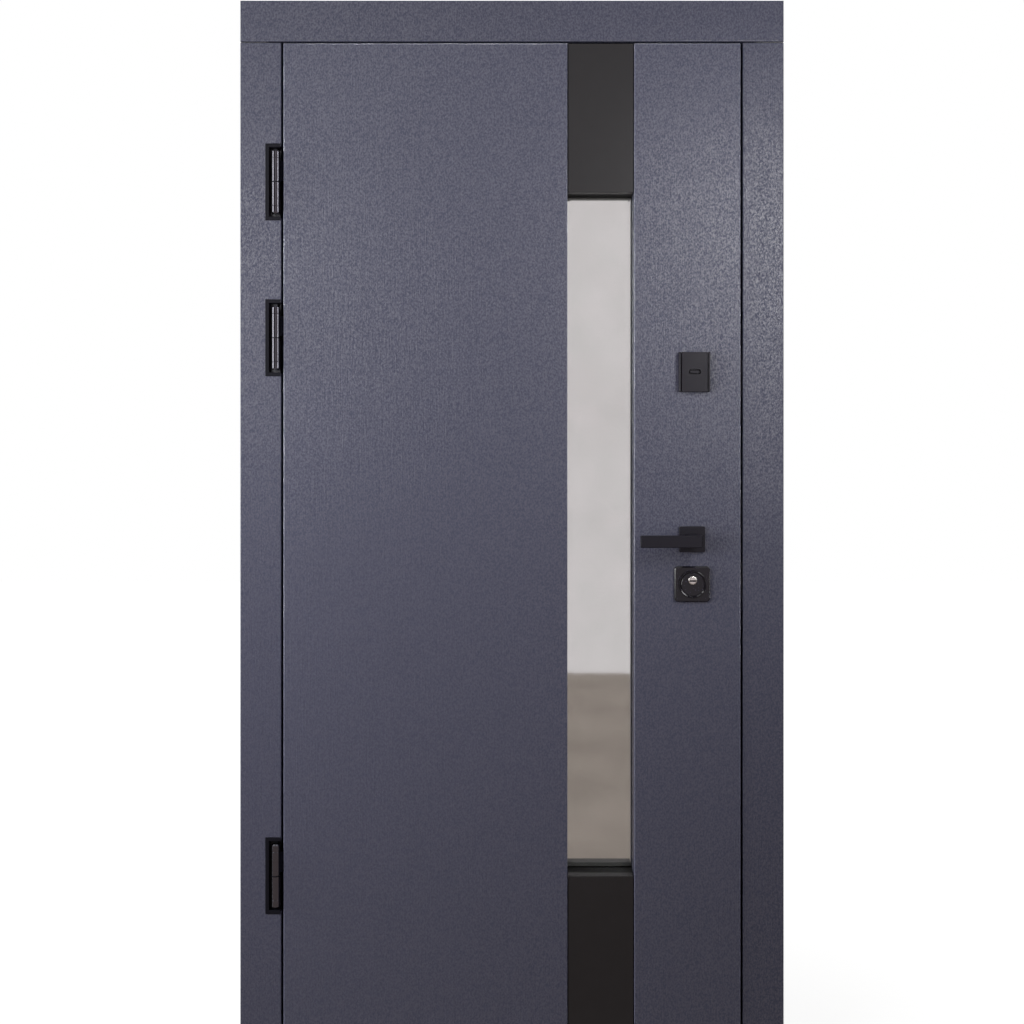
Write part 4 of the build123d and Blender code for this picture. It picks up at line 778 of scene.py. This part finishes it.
# %% [markdown]
# Roses and plates are stamped or cast squares. Their corners are rounded first, then
# the front edge, because an edge bevel follows corners that are already round. A
# round hole lets the lever's boss turn in its rose. The armoured plate has a flat
# slope for a front edge, a bevel of one step, which shows as one clear streak.

# %% Roses and plates
def square_plate(name, node, outer, corner, front_ease, steps=4):
    low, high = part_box(node)
    piece = start_box(name, low, high)
    ease(piece, runs_deep, corner, steps=6)
    ease(piece, lies_at(low[1] if outer else high[1]), front_ease, steps)
    return piece


ROSE_CORNER = 3 * MM
ROSE_ROUND = 1.4 * MM
BOSS_HOLE = 10.5 * MM
HOLE_DEEP = 40 * MM
HOLE_SIDES = 48
ARMOUR_CORNER = 7 * MM
ARMOUR_SLOPE = 2.2 * MM
for side in ("outer", "inner"):
    node = side + "_handle_rose"
    rose = square_plate(side + "_square_rose", node, side == "outer", ROSE_CORNER, ROSE_ROUND)
    cut_away(rose, start_round("boss_hole", middle_of(*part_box(node)), BOSS_HOLE, HOLE_DEEP, HOLE_SIDES))
    settle(rose, "leaf", "black_hardware", node)

turn_rose = square_plate("thumb_turn_rose", "inner_cylinder_rose", False, ROSE_CORNER, ROSE_ROUND)
settle(turn_rose, "leaf", "black_hardware", "inner_cylinder_rose")
armour_plate = square_plate("armour_plate", "cylinder_plate", True, ARMOUR_CORNER, ARMOUR_SLOPE, steps=1)
settle(armour_plate, "leaf", "gloss_black_plate", "cylinder_plate", smooth=30)

# %% [markdown]
# The lever is a flat bar with a square neck near one end. Four slices mark the neck's
# square on the back of the bar, and that face is drawn out towards the door. A smaller
# stub then enters the rose. All sharp edges are eased together at the end.

# %% Lever handles
LEVER_THICK = 11 * MM
NECK_HALF_X = 12.5 * MM
NECK_HALF_Z = 10.5 * MM
BOSS_ENTRY = 4 * MM
NECK_GAP = 1 * MM
STUB_INSET = 3.6 * MM
LEVER_ROUND = 1.3 * MM
turn_x, _, turn_z = middle_of(*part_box("outer_handle_rose"))
for side, inwards in (("outer", 1), ("inner", -1)):
    node = side + "_lever"
    low, high = map(list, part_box(node))
    deep = high[1] - low[1] - LEVER_THICK - BOSS_ENTRY - NECK_GAP
    if inwards > 0:
        high[1] = low[1] + LEVER_THICK
    else:
        low[1] = high[1] - LEVER_THICK
    lever = start_box(side + "_lever_bar", low, high)
    slice_at(lever, (turn_x - NECK_HALF_X, 0, 0), (1, 0, 0))
    slice_at(lever, (turn_x + NECK_HALF_X, 0, 0), (1, 0, 0))
    slice_at(lever, (0, 0, turn_z - NECK_HALF_Z), (0, 0, 1))
    slice_at(lever, (0, 0, turn_z + NECK_HALF_Z), (0, 0, 1))

    def is_neck(face):
        middle = face.calc_center_median()
        near = abs(middle.x - turn_x) < NECK_HALF_X and abs(middle.z - turn_z) < NECK_HALF_Z
        return near and face.normal.y * inwards > FACING

    pick(lever, "FACE", is_neck)
    push(inwards * deep)
    bpy.ops.mesh.inset(thickness=STUB_INSET, depth=0)
    push(inwards * (BOSS_ENTRY + NECK_GAP))
    ease(lever, is_sharp, LEVER_ROUND, steps=3)
    settle(lever, "handle", "black_hardware", node)

# %% [markdown]
# The upper keyhole hides behind a shutter that slides up between two rails. The guard
# starts as a thin base, and the strips along its sides are drawn out into the rails.
# The shutter is a plain cover with a thumb recess, cut by a rounded box. The floor of
# the recess is inset and drawn out again, which leaves a low grip inside a groove.

# %% Keyhole guard and shutter
guard_low, guard_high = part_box("keyhole_guard")
guard_x, _, guard_z = middle_of(guard_low, guard_high)
BASE_THICK = 4 * MM
RAIL_WIDE = 3.4 * MM
RAIL_GAP = 1.2 * MM
RAIL_EASE = 0.9 * MM
KEYHOLE_DROP = 20 * MM
KEYHOLE_SIZE = (6 * MM, 6 * MM, 22 * MM)
CUTTER_ROUND = 0.45
base_front = guard_high[1] - BASE_THICK
guard = start_box("keyhole_guard_rails", (guard_low[0], base_front, guard_low[2]), guard_high)
slice_at(guard, (guard_low[0] + RAIL_WIDE, 0, 0), (1, 0, 0))
slice_at(guard, (guard_high[0] - RAIL_WIDE, 0, 0), (1, 0, 0))
RAIL_RISE = guard_high[1] - guard_low[1] - BASE_THICK


def is_rail(face):
    off_middle = abs(face.calc_center_median().x - guard_x)
    return faces_out(face) and off_middle > (guard_high[0] - guard_x) - RAIL_WIDE


pick(guard, "FACE", is_rail)
push(-RAIL_RISE)
ease(guard, is_sharp, RAIL_EASE, steps=1)


def rounded_cutter(middle, size):
    low = [m - s / 2 for m, s in zip(middle, size)]
    high = [m + s / 2 for m, s in zip(middle, size)]
    cutter = start_box("rounded_cutter", low, high)
    ease(cutter, runs_deep, min(size[0], size[2]) * CUTTER_ROUND, steps=6)
    return cutter


cut_away(guard, rounded_cutter((guard_x, base_front, guard_z - KEYHOLE_DROP), KEYHOLE_SIZE))
settle(guard, "leaf", "black_hardware", "keyhole_guard")

shutter_low, shutter_high = map(list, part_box("keyhole_shutter"))
SHUTTER_HALF = (guard_high[0] - guard_low[0]) / 2 - RAIL_WIDE - RAIL_GAP
SHUTTER_EASE = 0.8 * MM
shutter_low[0] = guard_x - SHUTTER_HALF
shutter_high[0] = guard_x + SHUTTER_HALF
shutter = start_box("sliding_keyhole_cover", shutter_low, shutter_high)
ease(shutter, is_sharp, SHUTTER_EASE, steps=3)
THUMB_DEEP = 7.0 * MM
THUMB_SIZE = (23 * MM, 2 * THUMB_DEEP, 10 * MM)
GRIP_RIM = 2.6 * MM
GRIP_SINK = 0.6 * MM
thumb = (guard_x, shutter_low[1], guard_z)
cut_away(shutter, rounded_cutter(thumb, THUMB_SIZE))
recess_y = shutter_low[1] + THUMB_DEEP
pick(shutter, "FACE", lambda face: abs(face.calc_center_median().y - recess_y) < SMALL)
bpy.ops.mesh.inset(thickness=GRIP_RIM, depth=0)
push(GRIP_SINK - THUMB_DEEP)
settle(shutter, "shutter", "black_hardware", "keyhole_shutter")

# %% [markdown]
# The cylinder sits in a round armour disc. The disc starts as a many-sided cylinder,
# its rim is rounded, and insets draw rings on its face. The middle is pushed back, so
# the ring round it slopes like a dish, and then it is drawn out again with an eased
# edge. The nose of the cylinder is a bright domed round with a slot for the key. A slot
# cut in bright metal stays bright inside, so a dark block is set a little below it as
# painted shade: it stands for the shadow deep in the keyway.

# %% Armour disc and cylinder nose
disc_low, disc_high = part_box("cylinder_guard")
disc_middle = middle_of(disc_low, disc_high)
DISC_RADIUS = (disc_high[0] - disc_low[0]) / 2
DISC_SIDES = 128
RIM_ROUND = 1.2 * MM
RIM = 0.4 * MM
SLOPE = 2.4 * MM
SLOPE_DEEP = 1.5 * MM
GROOVE = 0.6 * MM
INNER_EASE = 0.8 * MM
NOSE_SIDES = 64
NOSE_GAP = 0.1 * MM
NOSE_DOME = 2.2 * MM
disc = start_round("armour_disc", disc_middle, DISC_RADIUS, disc_high[1] - disc_low[1], DISC_SIDES)
ease(disc, lies_at(disc_low[1]), RIM_ROUND, steps=4)
pick(disc, "FACE", faces_out)
bpy.ops.mesh.inset(thickness=RIM, depth=0)
bpy.ops.mesh.inset(thickness=SLOPE, depth=-SLOPE_DEEP)
bpy.ops.mesh.inset(thickness=GROOVE, depth=0)
push(INNER_EASE - SLOPE_DEEP)
bpy.ops.mesh.inset(thickness=INNER_EASE, depth=INNER_EASE)
bpy.ops.object.mode_set(mode="OBJECT")
nose_radius = (plug_high[0] - plug_low[0]) / 2
cut_away(disc, start_round("nose_hole", plug_middle, nose_radius + NOSE_GAP, HOLE_DEEP, NOSE_SIDES))
settle(disc, "leaf", "gloss_black_plate", "cylinder_guard", smooth=20)

SLOT_DROP = 1.0 * MM
SLOT_SIZE = (13 * MM, 9 * MM, 3.2 * MM)
nose = start_round("cylinder_nose", plug_middle, nose_radius, plug_high[1] - plug_low[1], NOSE_SIDES)
ease(nose, lies_at(plug_low[1]), NOSE_DOME, steps=6)
slot_at = (plug_middle[0], plug_low[1], plug_middle[2] - SLOT_DROP)
cut_away(nose, rounded_cutter(slot_at, SLOT_SIZE))
settle(nose, "leaf", "nickel_cylinder", "lock_cylinder")

# Painted shade: this dark block, sunk in the slot, stands for the shadow inside the keyway.
KEYWAY_SUNK = 0.6 * MM
KEYWAY_DEEP = 4.4 * MM
KEYWAY_HALF_X = 6.4 * MM
KEYWAY_HALF_Z = 1.55 * MM
KEYWAY_ROUND = 0.9 * MM
way_low = (slot_at[0] - KEYWAY_HALF_X, slot_at[1] + KEYWAY_SUNK, slot_at[2] - KEYWAY_HALF_Z)
way_high = (slot_at[0] + KEYWAY_HALF_X, slot_at[1] + KEYWAY_DEEP, slot_at[2] + KEYWAY_HALF_Z)
keyway_shade = start_box("keyway_shade_block", way_low, way_high)
ease(keyway_shade, runs_deep, KEYWAY_ROUND, steps=4)
settle(keyway_shade, "leaf", "black_hardware")

# %% [markdown]
# Inside, the lower lock is worked by a thumb-turn, a rounded blade on a short stem.
# The stem is drawn out of the blade's back face after an inset.

# %% Thumb-turn
blade_low, blade_high = map(list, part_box("thumb_turn"))
STEM = 8 * MM
STEM_INSET = 2.5 * MM
BLADE_CORNER = 3.5 * MM
BLADE_EASE = 1.6 * MM
back_y = blade_low[1]
blade_low[1] += STEM
blade = start_box("thumb_turn_blade", blade_low, blade_high)
ease(blade, runs_deep, BLADE_CORNER, steps=5)
pick(blade, "FACE", faces_out)
bpy.ops.mesh.inset(thickness=STEM_INSET, depth=0)
push(back_y - blade_low[1])
ease(blade, lies_at(blade_high[1]), BLADE_EASE, steps=4)
settle(blade, "leaf", "black_hardware", "thumb_turn")

# %% [markdown]
# The lock edges, the strikes and the hinge arms are held by countersunk cross-head
# screws. One screw head is modelled, with its cross cut by two thin boxes, and copies
# are turned and set in place, each with its own mesh.

# %% Screws
HEAD_RADIUS = 3.8 * MM
HEAD_TALL = 1.2 * MM
HEAD_SIDES = 24
HEAD_EASE = 0.35 * MM
CROSS_LONG = 4.2 * MM
CROSS_WIDE = 0.9 * MM
CROSS_DEEP = 1.0 * MM
UPRIGHT = (0, 0, 0)
head_top = HEAD_TALL / 2
pattern_screw = start_round("pattern_screw", (0, 0, 0), HEAD_RADIUS, HEAD_TALL, HEAD_SIDES, turn=UPRIGHT)
ease(pattern_screw, lambda edge: all(v.co.z > 0 for v in edge.verts), HEAD_EASE, steps=2)
for wide, tall in ((CROSS_LONG, CROSS_WIDE), (CROSS_WIDE, CROSS_LONG)):
    cross_low = (-wide / 2, -tall / 2, head_top - CROSS_DEEP)
    cross_high = (wide / 2, tall / 2, head_top + CROSS_DEEP)
    cut_away(pattern_screw, start_box("cross", cross_low, cross_high))


def place_copy(pattern, name, at, turn=UPRIGHT):
    bpy.ops.object.select_all(action="DESELECT")
    copy = pattern.copy()
    copy.data = pattern.data.copy()
    copy.name = name
    bpy.context.scene.collection.objects.link(copy)
    copy.rotation_euler = turn
    copy.location = at
    bpy.context.view_layer.objects.active = copy
    copy.select_set(True)
    bpy.ops.object.transform_apply(location=True, rotation=True, scale=True)
    return copy


def set_screw(name, body, at, faces_right):
    quarter = math.radians(90 if faces_right else -90)
    settle(place_copy(pattern_screw, name, at, (0, quarter, 0)), body, "steel_edge")


PROUD = 0.15 * MM
END = 10 * MM
ARM_THICK = 4 * MM
ARM_SCREW_UP = 14 * MM
ARM_SCREW_STEP = 20 * MM
ARM_SCREW_IN = 10 * MM
for where in ("upper", "lower"):
    low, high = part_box(where + "_lock_forend")
    middle_y = (low[1] + high[1]) / 2
    x = high[0] + PROUD - head_top
    set_screw(where + "_forend_screw_low", "leaf", (x, middle_y, low[2] + END), True)
    set_screw(where + "_forend_screw_high", "leaf", (x, middle_y, high[2] - END), True)
    low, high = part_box(where + "_strike_plate")
    x = low[0] - PROUD + head_top
    set_screw(where + "_strike_screw_low", "frame", (x, middle_y, low[2] + END), False)
    set_screw(where + "_strike_screw_high", "frame", (x, middle_y, high[2] - END), False)
for where in ("top", "middle", "bottom"):
    low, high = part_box("hinge_socket_" + where)
    arm_low = low[2] + ARM_SCREW_UP
    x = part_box("leaf_casing")[0][0] - ARM_THICK - PROUD + head_top
    y = high[1] - ARM_SCREW_IN
    set_screw("hinge_screw_low_" + where, "leaf", (x, y, arm_low), False)
    set_screw("hinge_screw_high_" + where, "leaf", (x, y, arm_low + ARM_SCREW_STEP), False)
bpy.data.objects.remove(pattern_screw)

# %% [markdown]
# A dark washer keeps the two knuckles of a hinge apart, and a small sheet box is
# welded in the hollow jamb behind each hinge, so that no mortar and no daylight comes
# through the opening for the arm. The box is a cube with two faces deleted and a
# solidify that gives the sheet its thickness. Both are made once, about the hinge
# line, and copied to the three hinges.

# %% Hinge washers and dust boxes
WASHER_RADIUS = 8.6 * MM
WASHER_HOLE = 8.02 * MM
WASHER_TALL = 2.0 * MM
WASHER_SIDES = 64
HALF_SPLIT = 0.5 * MM
SHEET = 1.0 * MM
HOLE_TALL = 3 * WASHER_TALL
pattern_washer = start_round("pattern_washer", (0, 0, 0), WASHER_RADIUS, WASHER_TALL, WASHER_SIDES,
    turn=UPRIGHT)
washer_hole = start_round("washer_hole", (0, 0, 0), WASHER_HOLE, HOLE_TALL, WASHER_SIDES, turn=UPRIGHT)
cut_away(pattern_washer, washer_hole)
BOX_LOW = (-9 * MM, 16 * MM, -10 * MM)
BOX_HIGH = (4 * MM, 30 * MM, 78 * MM)
pattern_box = start_box("pattern_dust_box", BOX_LOW, BOX_HIGH)
pick(pattern_box, "FACE", lambda face: face.normal.x > FACING or faces_out(face))
bpy.ops.mesh.delete(type="FACE")
bpy.ops.object.mode_set(mode="OBJECT")
sheet = pattern_box.modifiers.new("sheet", "SOLIDIFY")
sheet.thickness = SHEET
bpy.ops.object.modifier_apply(modifier=sheet.name)
for where in ("top", "middle", "bottom"):
    low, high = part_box("hinge_pintle_" + where)
    barrel = (high[0] - low[0]) / 2
    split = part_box("hinge_socket_" + where)[0][2] - HALF_SPLIT
    hinge_line = (low[0] + barrel, low[1] + barrel, split)
    washer = place_copy(pattern_washer, "hinge_washer_" + where, hinge_line)
    settle(washer, "frame", "black_plastic")
    dust_box = place_copy(pattern_box, "hinge_dust_box_" + where, hinge_line)
    settle(dust_box, "frame", "frame_paint", smooth=20)
bpy.data.objects.remove(pattern_washer)
bpy.data.objects.remove(pattern_box)
